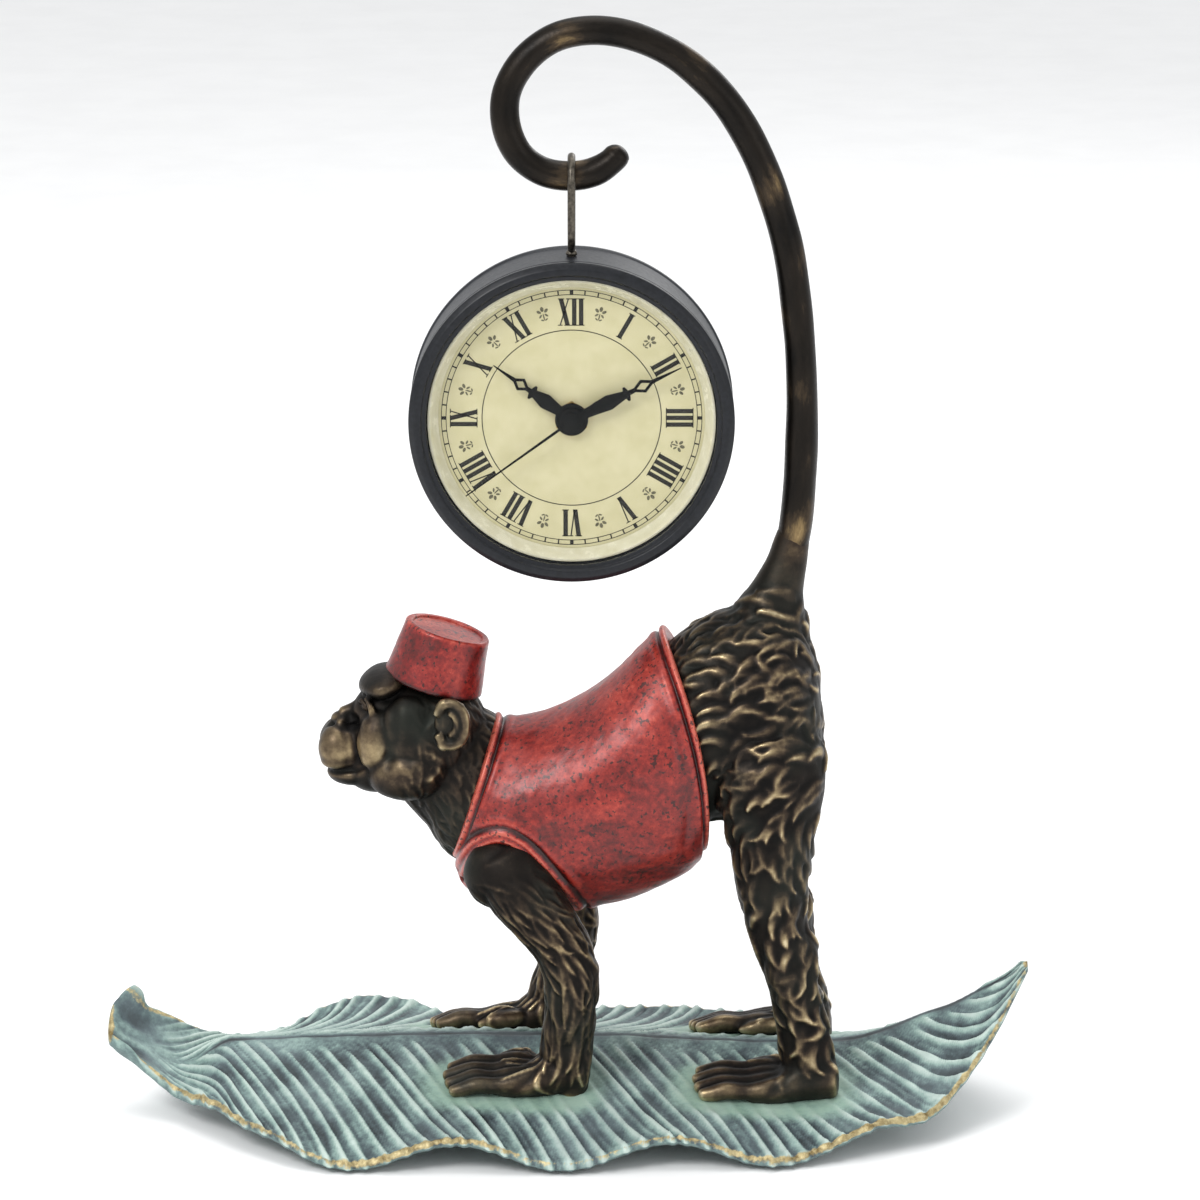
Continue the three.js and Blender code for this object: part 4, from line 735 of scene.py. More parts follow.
def vein_ridges(x, share, seed):
    """Ridges that slant from the midrib out to the edge, each with a groove on the side towards the
    tip and fine creases between: 1 on a ridge, below 0 in a groove."""
    random = np.random.default_rng(seed)
    strength = random.uniform(0.75, 1.1, 80)
    wander = random.uniform(-1.2, 1.2, 80)
    reach = random.uniform(0.0, 0.12, 80)
    start = x - VEIN_SWEEP * share**0.85 + HALF_LENGTH + VEIN_SWEEP
    lane = np.clip((start / VEIN_PITCH).astype(int), 1, 78)
    total = np.zeros_like(x)
    for k in (lane - 1, lane, lane + 1):
        off = start - (k + 0.5) * VEIN_PITCH - wander[k]
        sunk = 0.5 * np.exp(-((off - 1.7) / 0.9) ** 2) + 0.22 * np.exp(-((off + 2.4) / 0.6) ** 2)
        total += strength[k] * (np.exp(-(off / 0.95) ** 2) - sunk) * ease(reach[k], reach[k] + 0.1, share)
    return total


def hand_print(x, y, tip, heel, side_y):
    """1 where a hand or foot stands and just round it, where no veins were modelled."""
    middle, half = (tip + heel) / 2, (heel - tip) / 2
    d = ((np.abs(x - middle) / (half + 3)) ** 4 + (np.abs(y - side_y) / 12) ** 4) ** 0.25
    return 1 - ease(0.85, 1.3, d)


def leaf():
    columns, rows = 440, 104
    t = np.linspace(-1, 1, rows + 1)
    across = t * (1.12 - 0.12 * t * t)  # closer rows near the edge
    x, v = np.meshgrid(np.linspace(-HALF_LENGTH, HALF_LENGTH, columns + 1), across, indexing="ij")
    share = np.abs(v)
    ridges = np.where(v < 0, vein_ridges(x, share, 11), vein_ridges(x, share, 12))
    at_edge = np.where(v < 0, vein_ridges(x, share * 0 + 1, 11), vein_ridges(x, share * 0 + 1, 12))
    flat = np.column_stack([x.ravel(), v.ravel() * 40, 0 * x.ravel()])
    uneven = ripple(flat, 13, 5).reshape(x.shape)
    tapered = ease(-1, -0.8, x / HALF_LENGTH) * (1 - ease(0.86, 1, x / HALF_LENGTH))
    scallop = (0.9 * at_edge - 0.5 + 0.5 * uneven) * tapered
    reach = LEAF_HALF_WIDTH * width_share(x) - 0.5 * frill(x, v) * share**3
    y = np.sign(v) * (share * reach + scallop * share**6)
    y = np.clip(y, LEAF_LOW[1] + 0.1, LEAF_HIGH[1] - 0.1)
    z = leaf_z(x, np.sign(v) * share * LEAF_HALF_WIDTH * width_share(x))
    # the stalk rolls over towards the front and opens into a channel with a rounded end
    rolled = ease(-97, -116, x)
    channel = 22.3 + 6 * v + 3.4 * v**2 + 0.62 * (-129 - x)
    z = z + rolled * (channel - z)
    y = y + rolled * v * 1.2
    x = x + ease(-121, -HALF_LENGTH, x) * (5.5 * v**4 + 2 * ease(0, 1, v))

    pool = np.zeros_like(x)
    for tip, heel, side_y in PRINTS:
        pool = np.maximum(pool, hand_print(x, y, tip, heel, side_y))
    plain = ease(-122, -106, x) * (1 - 0.8 * pool) * ease(0.02, 0.1, share)
    random = np.random.default_rng(3)
    fine = np.cos(TURN * (x - VEIN_SWEEP * share**0.85) / 2.2 + 2 * uneven)
    fine = fine * random.uniform(0.4, 1, x.shape)
    midrib = np.exp(-(y / 0.9) ** 2) * ease(-112, -98, x)
    shoulder = np.exp(-((np.abs(y) - 2.4) / 1.2) ** 2) * ease(-112, -98, x)
    relief = plain * (1.1 * ridges + 0.16 * fine) - 0.8 * midrib + 0.25 * shoulder

    # the stalk's cut end is a spoon with a thick lip
    spoon = np.exp(-(((x + 126.5) / 6.5) ** 2) - ((share - 0.52) / 0.27) ** 2)
    lip = np.exp(-((x + 132.3) / 1.3) ** 2)
    dished = 0.6 * lip - 0.8 * spoon + 0.25 * uneven * (1 - pool)

    from_edge = np.minimum((1 - share) * reach, np.minimum(x + HALF_LENGTH, HALF_LENGTH - x + 0.3))
    turn_over = 0.95 * (1 - np.sqrt(1 - np.clip(1 - from_edge / 1.3, 0, 1) ** 2))
    bead = 0.5 * np.exp(-(((from_edge - 1.9) / 1.1) ** 2))
    keep = ease(0.4, 2.6, from_edge)
    top = z + relief * keep + dished + bead - turn_over
    under = z - LEAF_THICK - 0.9 * rolled + dished + turn_over
    under = np.maximum(under, 0.6)
    top = np.maximum(top, under + 0.25)

    at = np.arange(x.size).reshape(x.shape)
    low = at + x.size
    quads = [
        np.stack([at[:-1, :-1], at[1:, :-1], at[1:, 1:], at[:-1, 1:]], -1),
        np.stack([low[:-1, :-1], low[:-1, 1:], low[1:, 1:], low[1:, :-1]], -1),
        np.stack([at[:-1, 0], low[:-1, 0], low[1:, 0], at[1:, 0]], -1),
        np.stack([at[:-1, -1], at[1:, -1], low[1:, -1], low[:-1, -1]], -1),
        np.stack([at[0, :-1], at[0, 1:], low[0, 1:], low[0, :-1]], -1),
        np.stack([at[-1, :-1], low[-1, :-1], low[-1, 1:], at[-1, 1:]], -1),
    ]
    points = np.concatenate([np.stack([x, y, h], -1).reshape(-1, 3) for h in (top, under)])
    blade = outward((points, np.concatenate([q.reshape(-1, 4) for q in quads]), np.zeros((0, 3), int)))

    pale = 0.38 + 0.56 * ridges * plain + 0.1 * fine * plain + 0.3 * pool - 0.45 * midrib - 0.5 * spoon
    pale = pale + 0.14 * uneven + 0.12 * ease(0.85, 1, share) + 0.16 * (1 - ease(-118, -96, x))
    gilt = np.exp(-(((from_edge - 0.8) / 1.1) ** 2)) * (0.74 + 0.3 * ripple(flat, 45, 8).reshape(x.shape))
    gilt = gilt + 0.25 * lip + 0.18 * np.exp(-((from_edge / 1.2) ** 2)) * ease(0.72, 0.9, x / HALF_LENGTH)

    supports = [column(px, py, 6, 1.5, 0) for px, py in PAD_PLACES]
    supports += [column(px, py, 5.5, POST_FOOT, 2.3) for px, py in SCREW_PLACES]
    extra = sum(len(s[0]) for s in supports)
    under_fields = [np.full(x.size + extra, value) for value in (0.42, 0.0)]
    under_fields[1][:x.size] = 0.3 * gilt.ravel()
    piece(
        "leaf", together(blade, *supports), "figure", VERDIGRIS, "leaf", ["leaf_base"],
        ridge=np.concatenate([pale.ravel(), under_fields[0]]),
        rim=np.concatenate([gilt.ravel(), under_fields[1]]),
        pool=np.concatenate([pool.ravel(), 0 * under_fields[0]]),
    )


def column(x, y, radius, foot, bore):
    """A boss or a drilled screw post under the leaf, its top buried in the leaf's thickness."""
    turn = np.linspace(0, TURN, 32, endpoint=False)

    def ring(r, z=None):
        px, py = x + r * np.cos(turn), y + r * np.sin(turn)
        return np.stack([px, py, leaf_z(px, py) - LEAF_THICK / 2 if z is None else z + 0 * px], -1)

    if not bore:
        return loft(np.array([ring(radius - 0.5, foot), ring(radius, foot + 0.5), ring(radius), ring(0.5)]))
    outside = [ring(radius - 0.5, foot), ring(radius, foot + 0.5), ring(radius)]
    return band(np.array([ring(bore, foot), *outside, ring(bore)]))


# ---- hands, feet and limbs ----
def paw(heel_x, tip_x, y, inner, heel, instep):
    """A hand or foot: a wedge with four long digits, and a thumb set back on the inner side."""
    ground = float(leaf_z(heel_x - 10, y))
    palm_end = heel_x + (tip_x - heel_x) * 0.52
    palm = skin([
        [heel_x + 1, ground + heel * 0.5, heel_x + 1, ground + 0.5, y, 2],
        [heel_x - 0.5, ground + heel, heel_x, ground - 1.5, y, 6],
        [heel_x - 9, ground + instep + 3, heel_x - 8, ground - 2.5, y, 7.4],
        [palm_end + 6, ground + instep - 1.5, palm_end + 5, ground - 3, y, 8.6],
        [palm_end - 3, ground + 4.6, palm_end - 3, ground - 2.5, y, 7.8],
        [palm_end - 6, ground + 3, palm_end - 6, ground - 1, y, 5],
    ], 30, 32)
    digits = []
    for n in (-1.5, -0.5, 0.5, 1.5):
        root_y, tip_y = y + n * 3.8, y + n * 3.9
        end = tip_x + abs(n - 0.3) * 1.2
        knuckle, joint = palm_end + 1, (palm_end + end) / 2 - 1
        digits.append(bar([
            [palm_end + 8, y + n * 3.2, leaf_z(palm_end, y) + 5.2],
            [knuckle, root_y, leaf_z(knuckle, root_y) + 3.8],
            [(knuckle + joint) / 2, (root_y * 2 + tip_y) / 3, leaf_z((knuckle + joint) / 2, root_y) + 3.0],
            [joint, (root_y + tip_y * 2) / 3, leaf_z(joint, tip_y) + 3.1],
            [end + 4, tip_y, leaf_z(end + 4, tip_y) + 2.0],
            [end + 0.6, tip_y, leaf_z(end, tip_y) + 1.3],
            [end, tip_y, leaf_z(end, tip_y) + 1.1],
        ], [1.8, 2.9, 2.5, 2.6, 2.3, 1.6, 0.4], 44, 16))
    thumb_y = y + inner * 9.2
    digits.append(bar([
        [heel_x - 13, y + inner * 5, ground + 4.5],
        [heel_x - 17, y + inner * 8.4, leaf_z(heel_x - 17, thumb_y) + 3],
        [palm_end - 1, thumb_y, leaf_z(palm_end - 1, thumb_y) + 2.4],
        [palm_end - 5, thumb_y, leaf_z(palm_end - 5, thumb_y) + 1.4],
    ], [2.2, 2.6, 2.2, 0.8], 30, 16))
    return [palm] + digits


def arm(node, side, forward):
    def y(share):
        return side * (LIMB_Y - 6 + 8 * share)

    def to(share, value):
        return value - forward * share

    upper = skin([
        [-22, 86, -15, 89, y(-0.4), 3], [-28.5, 79, -11, 86.5, y(0), 8.5],
        [-24, 70.5, -6.5, 80.5, y(0.3), 9.2], [-16.5, 62, -0.5, 71, y(0.6), 8.6],
        [-8, 53, 6.5, 58.5, y(0.9), 8], [-6.2, 44, 8.8, 47, y(1), 7.6],
        [to(0.3, -6), 37, to(0.3, 8.2), 36, y(0.95), 7],
        [to(0.7, -7.2), 29, to(0.7, 7.4), 28, y(0.85), 6.4],
        [to(0.9, -7), 22, to(0.9, 6.6), 18, y(0.8), 6.4], [to(1, -5), 15, to(1, 5.6), 11, y(0.75), 5],
    ])
    shoulder = ball([-19.5, y(0.05), 77], [9.8, 8.6, 10.2], 0.6)
    elbow = ball([to(0.1, 3.2), y(0.95), 50], [5.6, 6.4, 6])
    wrist = ball([to(0.95, -1.5), y(0.8), 21], [5.8, 5.6, 6])
    hand = paw(HAND_HEEL - forward, HAND_TIP - forward, side * LIMB_Y, -side, 12, 8.5)
    shape = melted([upper, shoulder, elbow, wrist, *hand], 0.45, 5)
    points = shape[0]
    flow = np.where(points[:, 2:] > 52, [[0.72, 0, -0.7]], [[-0.1, 0, -1.0]])
    cover = ease(24, 31, points[:, 2]) * ease(84, 70, points[:, 2] - 0.25 * (points[:, 0] + 20))
    hair = combed(shape, flow, cover, length=13, width=2.7, spacing=4.2, seed=21 + side,
                  stray=0.22, bends=(1.0, 2.4), droop=0.5)
    shape = pushed(shape, 0.85 * hair - 0.25 * cover + 0.12 * ripple(points, 7, 4))
    # the knuckles and the backs of the hands are handled most
    pale = 0.08 * ease(28, 20, shape[0][:, 2]) - 0.1 * ease(66, 78, shape[0][:, 2])
    piece(node + "_cast", shape, "figure", BRONZE, "bronze", [node],
          rubbed=wear(shape, pale + 0.14 * hair - 0.08))


def hindquarters():
    """The haunches and both legs, cast in one."""
    rump = skin([
        [17, 127, 18, 74, 0, 17], [22, 132, 27, 78, 0, 21], [30, 139, 37, 84, 0, 22.5],
        [36, 144.5, 43, 88, 0, 23.6], [46, 149, 50, 87, 0, 24.5], [56, 150, 58, 90, 0, 24.5],
        [65, 146, 66, 93, 0, 21.5], [71, 136, 72, 98, 0, 15], [73.2, 124, 73.6, 107, 0, 7],
    ])
    root = bar([[56, 0, 138], [58.5, 0, 148], [60.6, 0, 156], [63, 0, 164], [64.7, 0, 172], [65.6, 0, 178]],
               [14, 10.8, 7.4, 5.7, 4.7, 3.6], 40, 32)
    shapes = [rump, root]
    for side in (-1, 1):
        def y(share):
            return side * (LIMB_Y - 10 + 9 * share)

        shapes.append(skin([
            [47, 118, 66, 121, y(0), 4], [42.5, 108, 73, 114, y(0), 10], [44, 95, 74, 101, y(0), 12],
            [46.5, 84, 71, 86, y(0.2), 11.5], [49.5, 70, 68.6, 70, y(0.5), 10],
            [53, 58, 69.4, 58, y(0.8), 8.6], [58.3, 44, 72.6, 43, y(1), 7.6],
            [60.5, 32, 75, 32, y(1), 7.2], [61.5, 24, 76.5, 22, y(1), 7.4], [62, 17, 77, 12, y(1), 6.5],
        ]))
        shapes.append(ball([57, y(0.1), 104], [14.5, 12.5, 19], 0.15))
        shapes.append(ball([67, y(0.9), 52], [5.4, 6.6, 10], -0.1))
        shapes += paw(FOOT_HEEL, FOOT_TIP, side * LIMB_Y, -side, 10, 9)
    shape = melted(shapes, 0.6, 4)
    points = shape[0]
    down = np.tile([-0.25, 0, -1.0], (len(points), 1))
    high = ease(84, 112, points[:, 2:])
    flow = down * (1 - high) + high * np.array([-0.95, 0, -0.1])
    hem = np.array([(35, 70), (39.7, 90), (39.4, 104), (38, 119), (35, 128), (25, 141)])
    behind_hem = points[:, 0] - np.interp(points[:, 2], hem[:, 1], hem[:, 0])
    cover = ease(2.5, 8, behind_hem) * ease(25, 32, points[:, 2]) * (1 - ease(147, 159, points[:, 2]))
    cover = np.where(points[:, 2] < 88, ease(25, 32, points[:, 2]), cover)
    hair = combed(shape, flow, cover, length=11, width=4.3, spacing=5.3, seed=31,
                  stray=0.35, bends=(0.42, 0.8), droop=0.85)
    shape = pushed(shape, 1.2 * hair - 0.35 * cover + 0.12 * ripple(points, 8, 6))
    pale = 0.06 * ease(28, 18, shape[0][:, 2]) + 0.06 * ease(125, 145, shape[0][:, 2])
    piece("hindquarters", shape, "figure", BRONZE, "bronze", ["haunches", "near_leg", "far_leg"],
          rubbed=wear(shape, pale + 0.12 * hair - 0.14))


# ---- the waistcoat ----
TRUNK = [
    [-20.5, 118, -33, 78, 0, 18.5], [-16, 117, -29.5, 68, 0, 22.5], [-6, 118.5, -17, 62.5, 0, 25.5],
    [5, 124.5, -1, 60.5, 0, 27], [15, 132.5, 14, 62.5, 0, 27.5], [21, 138.5, 27, 67.5, 0, 27.5],
    [25.5, 142.5, 36.5, 73, 0, 26.5], [28, 144, 40, 80, 0, 25.5],
]
ARMHOLE = [(-31, 74), (-28.5, 81), (-24.5, 86.5), (-19, 88.6), (-13.5, 86.6), (-8, 81), (-2, 73), (3, 64)]

# Soft creases that the modeller pulled from the armhole and the hem: a line, a height and a reach.
FOLDS = [
    ([(-6, 86), (4, 92), (16, 92), (28, 86)], -0.35, 3),
    ([(-8, 91), (3, 98), (17, 99), (30, 96)], 0.3, 4),
    ([(2, 70), (12, 76), (24, 77), (34, 76)], -0.4, 2.4),
    ([(-16, 96), (-6, 106), (8, 114), (18, 124)], 0.5, 7),
    ([(33, 80), (35, 92), (34.5, 106), (31, 121)], -0.5, 1.6),
    ([(28, 84), (30, 96), (29, 110)], 0.45, 2.4),
]


def waistcoat():
    rings, sides = 190, 250
    points, quads, tris = skin(TRUNK, rings, sides)
    body = points[:-2].reshape(rings, sides, 3)
    # the hem bows back between the spine and the belly
    low, high = body[..., 2].min(1, keepdims=True), body[..., 2].max(1, keepdims=True)
    level = (body[..., 2] - low) / (high - low)
    late = np.linspace(0, 1, rings)[:, None]
    body[..., 0] += 4.6 * (1 - (2 * level - 1) ** 2) * ease(0.55, 1, late)
    # both open ends turn in over a rounded lip
    steps = np.linalg.norm(np.diff(body, axis=0), axis=2)
    from_neck = np.vstack([np.zeros((1, sides)), np.cumsum(steps, 0)])
    from_hem = from_neck[-1:] - from_neck
    middle = body.mean(1, keepdims=True)
    inward = unit(middle - body)

    def lip(distance):
        return np.clip(1 - distance / 1.6, 0, 1)

    ends = lip(from_neck) + lip(from_hem)
    body = body + inward * (1.8 * (1 - np.sqrt(1 - ends**2)))[..., None]
    points = np.concatenate([body.reshape(-1, 3), body[[0, -1]].mean(1)])
    shape = outward((points, quads, tris))

    edge = np.minimum(from_neck, from_hem).ravel()
    near_middle = np.abs(points[:-2, 1]) < 8
    arm_edge = off_line(points[:-2][:, [0, 2]], smooth_curve(ARMHOLE, 60)) + 30 * near_middle
    seam = np.minimum(edge, arm_edge)
    bead = 0.6 * np.exp(-((seam - 1.0) / 0.8) ** 2)
    groove = 0.7 * np.exp(-((seam - 2.7) / 0.6) ** 2)
    welt = 0.35 * np.exp(-((seam - 4.6) / 1.2) ** 2)
    p = points[:-2]
    side_on = ease(4, 14, np.abs(p[:, 1]))
    folds = 0
    for line, depth, reach in FOLDS:
        folds = folds + depth * np.exp(-(off_line(p[:, [0, 2]], line) / reach) ** 2) * side_on
    cloth = 0.4 * ripple(p, 34, 2) + 0.1 * ripple(p, 9, 3) + 0.05 * ripple(p, 3, 9)
    height = np.append(bead - groove + welt + folds + cloth * ease(2, 9, seam), [0, 0])
    shape = pushed(shape, height)
    # painted highlight along each edge's bead and painted shade in the groove inside it; the enamel is also
    # lighter towards the top and darker towards the bottom, painted light from above
    high_edge = 0.22 * np.exp(-((seam - 0.9) / 0.8) ** 2) - 0.4 * np.exp(-((seam - 2.7) / 0.8) ** 2)
    top = 0.1 * ease(95, 125, p[:, 2]) - 0.12 * ease(85, 66, p[:, 2])
    rubbed = np.append(high_edge + top, [0, 0]) + wear(shape) * 0.6 + 0.2
    piece("waistcoat_cloth", shape, "figure", WAISTCOAT_RED, "red_enamel", ["waistcoat"],
          rubbed=np.clip(rubbed, 0, 1))


# ---- the head ----
HAT_LEAN = 0.28
HAT_SEAT = [-38.5, 0, 127.6]


def ear(side):
    """A cupped ear: a back plate, a rolled rim open to the front, and the fold inside it."""
    x, y, z = -33, side * 16.6, 120.3

    def around(wide, high, start, end, out):
        turn = np.radians(np.linspace(start, end, 14))
        return [(x + wide * math.cos(a), y + side * (out + 0.9 * math.cos(a)), z + high * math.sin(a))
                for a in turn]

    rim = bar(around(4.3, 6.1, 160, -150, 1.5), [1.1] + [1.5] * 12 + [1.3], 60, 16)
    fold = bar(around(2.0, 3.2, 100, -100, 1.3), [0.6] + [1.0] * 12 + [0.6], 40, 14)
    lobe = ball([x - 1.6, y + side * 1.2, z - 5.9], [2.1, 1.5, 1.9])
    back = ball([x, y - side * 0.6, z], [4.4, 2.0, 6.3])
    return [rim, fold, lobe, back]


def face_parts(side):
    return [
        bar([[-57.6, side * 9, 125.8], [-55.6, side * 10.6, 122], [-55.2, side * 11, 117]],
            [0.9, 1.3, 1.2], 24, 14),
        bar([[-57.5, side * 2.5, 124], [-58.3, side * 5.5, 121], [-59.8, side * 7.4, 117]],
            [1.4, 1.2, 1.0], 24, 14),
        ball([-63.4, side * 3.2, 116.6], [3.0, 2.6, 2.0]),
        ball([-65.8, side * 3.6, 109.4], [5.5, 5.8, 6.9]),
        ball([-54, side * 9, 113], [6.2, 5.8, 9.2], 0.1),
        ball([-44.5, side * 8.5, 104.4], [12.5, 9.2, 8.8], -0.25),
        ball([-45, side * 11, 117.5], [8, 5.8, 9]),
    ]


def eye_parts(side):
    return [
        ball([-56.9, side * 7.4, 122.9], [1.7, 2.1, 1.6]),
        bar([[-58.6, side * 5.4, 122.6], [-58.7, side * 7.4, 124.2], [-56.9, side * 9.4, 123]],
            [0.4, 0.7, 0.4], 20, 12),
    ]


def head():
    shapes = [
        ball([-41, 0, 113], [18.5, 16.8, 17.2]),
        ball([-53, 0, 113.5], [9.8, 12, 14.6]),
        ball([-52.4, 0, 128.3], [7.4, 12.6, 4.3], -0.25),
        bar([[-56.5, 0, 123], [-60.3, 0, 119.9], [-64.4, 0, 117.9]], [2.8, 2.4, 2.5], 24, 18),
        ball([-65.0, 0, 116.6], [2.9, 3.7, 2.6], 0.35),
        ball([-63.2, 0, 109.6], [8, 8.6, 8.2]),
        ball([-60.4, 0, 101.8], [8.4, 8, 4.2], -0.08),
        ball([-55, 0, 102.5], [9, 10, 7]),
        skin([
            [-34, 119, -47, 93, 0, 11], [-27, 120, -41, 86.5, 0, 13.5], [-21.5, 118.5, -34, 77, 0, 15.5],
            [-15, 112, -25, 74, 0, 17], [-9, 106, -18, 76, 0, 12],
        ]),
    ]
    shapes += both_sides(face_parts) + both_sides(ear)
    shape = melted(shapes, 0.42, 22)
    points = shape[0]
    side_y = np.abs(points[:, 1])
    folded = np.column_stack([points[:, 0], side_y, points[:, 2]])
    side_view = points[:, [0, 2]]

    def crease(line, reach, outer):
        return np.exp(-(off_line(side_view, line) / reach) ** 2) * ease(outer, outer + 3, side_y)

    press = 1.5 * near(folded, [-59.2, 7.6, 123.0], [3.4, 3.4, 2.6])  # eye sockets
    press += 2.8 * near(folded, [-61.9, 5.6, 117.6], [2.6, 3.0, 1.9])  # the hollows beside the nose
    press += 1.2 * near(folded, [-66.8, 2.4, 116.0], [1.5, 1.2, 0.9])  # nostrils
    press += 0.3 * crease([(-60.6, 117), (-59.6, 112), (-60.4, 106)], 1.9, 4)
    press += 0.6 * crease([(-49.5, 123), (-48.8, 115), (-51, 107)], 1.7, 7)
    mouth = off_line(side_view, [(-72, 103.6), (-66, 103.0), (-60.5, 103.6), (-57.5, 105)])
    press += 0.35 * np.exp(-(mouth / 0.7) ** 2) * ease(-55, -59, points[:, 0])
    press += 0.6 * near(points, [-70.5, 0, 112], [2.5, 0.9, 3.2])  # the cleft under the nose
    curl = np.abs(np.hypot(points[:, 0] + 40.5, points[:, 2] - 107.5) - 4)
    raised = 0.5 * np.exp(-(curl / 1.1) ** 2) * ease(8, 12, side_y) * ease(-43, -39, points[:, 0])
    lips = 0.25 * np.exp(-((mouth - 1.7) / 0.9) ** 2) * ease(-56, -62, points[:, 0])
    shape = pushed(shape, raised + lips - press)

    points = shape[0]
    flow = np.tile([0.45, 0, -0.9], (len(points), 1))
    behind_face = ease(-50, -45, points[:, 0] - 0.2 * (points[:, 2] - 105))
    off_ear = 1 - near(folded, [-32.5, 19, 120.5], [6.5, 5, 8])
    cover = behind_face * off_ear * 0.9
    hair = combed(shape, flow, cover, length=8, width=2.6, spacing=3.6, seed=41,
                  stray=0.35, bends=(0.6, 1.2), droop=0.7)
    shape = pushed(shape, 0.55 * hair - 0.1 * cover + 0.07 * ripple(points, 5, 14))
    points = shape[0]
    # painted highlights: the muzzle, the cheeks, the folds beside the muzzle, the ears, the bridge of the
    # nose and the jowls are lightened where the light catches them
    painted_highlight = 0.24 * near(folded, [-67, 6, 109], [6, 7, 7])
    painted_highlight += 0.24 * near(folded, [-55, 13, 112], [6, 6, 8])
    painted_highlight += 0.24 * near(folded, [-61, 10, 109.5], [4, 7, 6])
    painted_highlight += 0.08 * near(folded, [-33, 18, 120.3], [6.5, 4, 8])
    painted_highlight += 0.16 * near(points, [-66, 0, 119.5], [4, 4, 2])
    painted_highlight += 0.2 * near(folded, [-50, 15, 108], [8, 9, 6])
    # painted shade: darker under the front of the fez, in front of the ears, in the hollows beside the nose,
    # below the mouth, under the brows and under the chin
    dark = 0.14 * near(points, [-55, 0, 129], [8, 14, 4.6])
    dark += 0.34 * near(folded, [-44, 15, 121], [5.5, 6, 7.5])
    dark += 0.7 * near(folded, [-61.9, 6, 117.6], [2.6, 4, 1.9])
    dark += 0.3 * near(points, [-62, 0, 100], [12, 12, 3.6])
    dark += 0.2 * near(folded, [-55, 6, 125.5], [5, 7, 2])
    dark += 0.2 * near(points, [-45, 0, 93], [12, 14, 5])
    # the head's tone is its rubbed ridges and recesses plus the painted highlights and the painted shade
    rubbed = wear(shape, painted_highlight - dark + 0.05 * hair - 0.05)
    eyes = together(*both_sides(eye_parts))
    piece("head_cast", together(shape, eyes), "figure", BRONZE, "bronze", ["head"],
          rubbed=np.append(rubbed, np.full(len(eyes[0]), 0.46)))


def fez():
    """A turned fez with a soft top edge and a shallow dished crown."""
    base, top, tall = 14.3, 12.3, 17
    wall = rounded([(base - 0.6, 0), (base, 0.5), (top, tall), (top - 2.2, tall - 0.35)],
                   [0.0, 0.4, 1.1, 0.6])
    outline = np.vstack([[[0.6, 0]], wall, [[0.6, tall - 0.5]]])
    steps = [np.linspace(a, b, max(2, int(np.hypot(*(b - a)) / 0.7)), endpoint=False)
             for a, b in zip(outline[:-1], outline[1:])]
    profile = np.vstack(steps + [outline[-1:]])
    points, quads, tris = turned_disc(profile, 150)
    height, out = points[:, 2].copy(), np.hypot(points[:, 0], points[:, 1])
    uneven = 0.13 * ripple(points, 9, 17) + 0.04 * ripple(points, 3, 18)
    points = points + unit(points * [1, 1, 0.02]) * (uneven * ease(2, 9, out) * ease(0, 1, height))[:, None]
    # thin enamel on the top's rim; a painted highlight on the crown, and painted shade at the foot where the
    # fez sits on the head
    rim, crown = out > top - 1.6, (out < top - 1.6) & (height > tall - 1.5)
    rubbed = 0.42 + 0.1 * ripple(points, 14, 19) + 0.3 * np.exp(-((height - tall + 0.6) / 0.7) ** 2) * rim
    rubbed += 0.3 * crown - 0.4 * ease(1.6, 0.3, height)
    c, s = math.cos(HAT_LEAN), math.sin(HAT_LEAN)
    x, y, z = points.T
    leaned = np.column_stack([c * x + s * z, y, c * z - s * x])
    piece("fez_hat", (leaned + HAT_SEAT, quads, tris), "figure", FEZ_RED, "red_enamel", ["fez"],
          rubbed=np.clip(rubbed, 0, 1))


# ---- the tail ----
TAIL_PATH = [
    (60.4, 154), (63, 163), (65, 173), (66.6, 196), (66.5, 217), (65, 237), (61.7, 257), (56.4, 274),
    (49.6, 288.5), (40.8, 300.4), (30, 309.2), (18, 314.6), (6.5, 316), (-3.5, 313.8), (-11.6, 307.6),
    (-16.6, 298.5), (-16.8, 289), (-13.2, 281), (-6.6, 276.2), (1.5, 274.8), (8, 276), (13, 279.2),
    (16.0, 282.9),
]
TAIL_RADIUS = 4.4
HOOK_RADIUS = 4.1


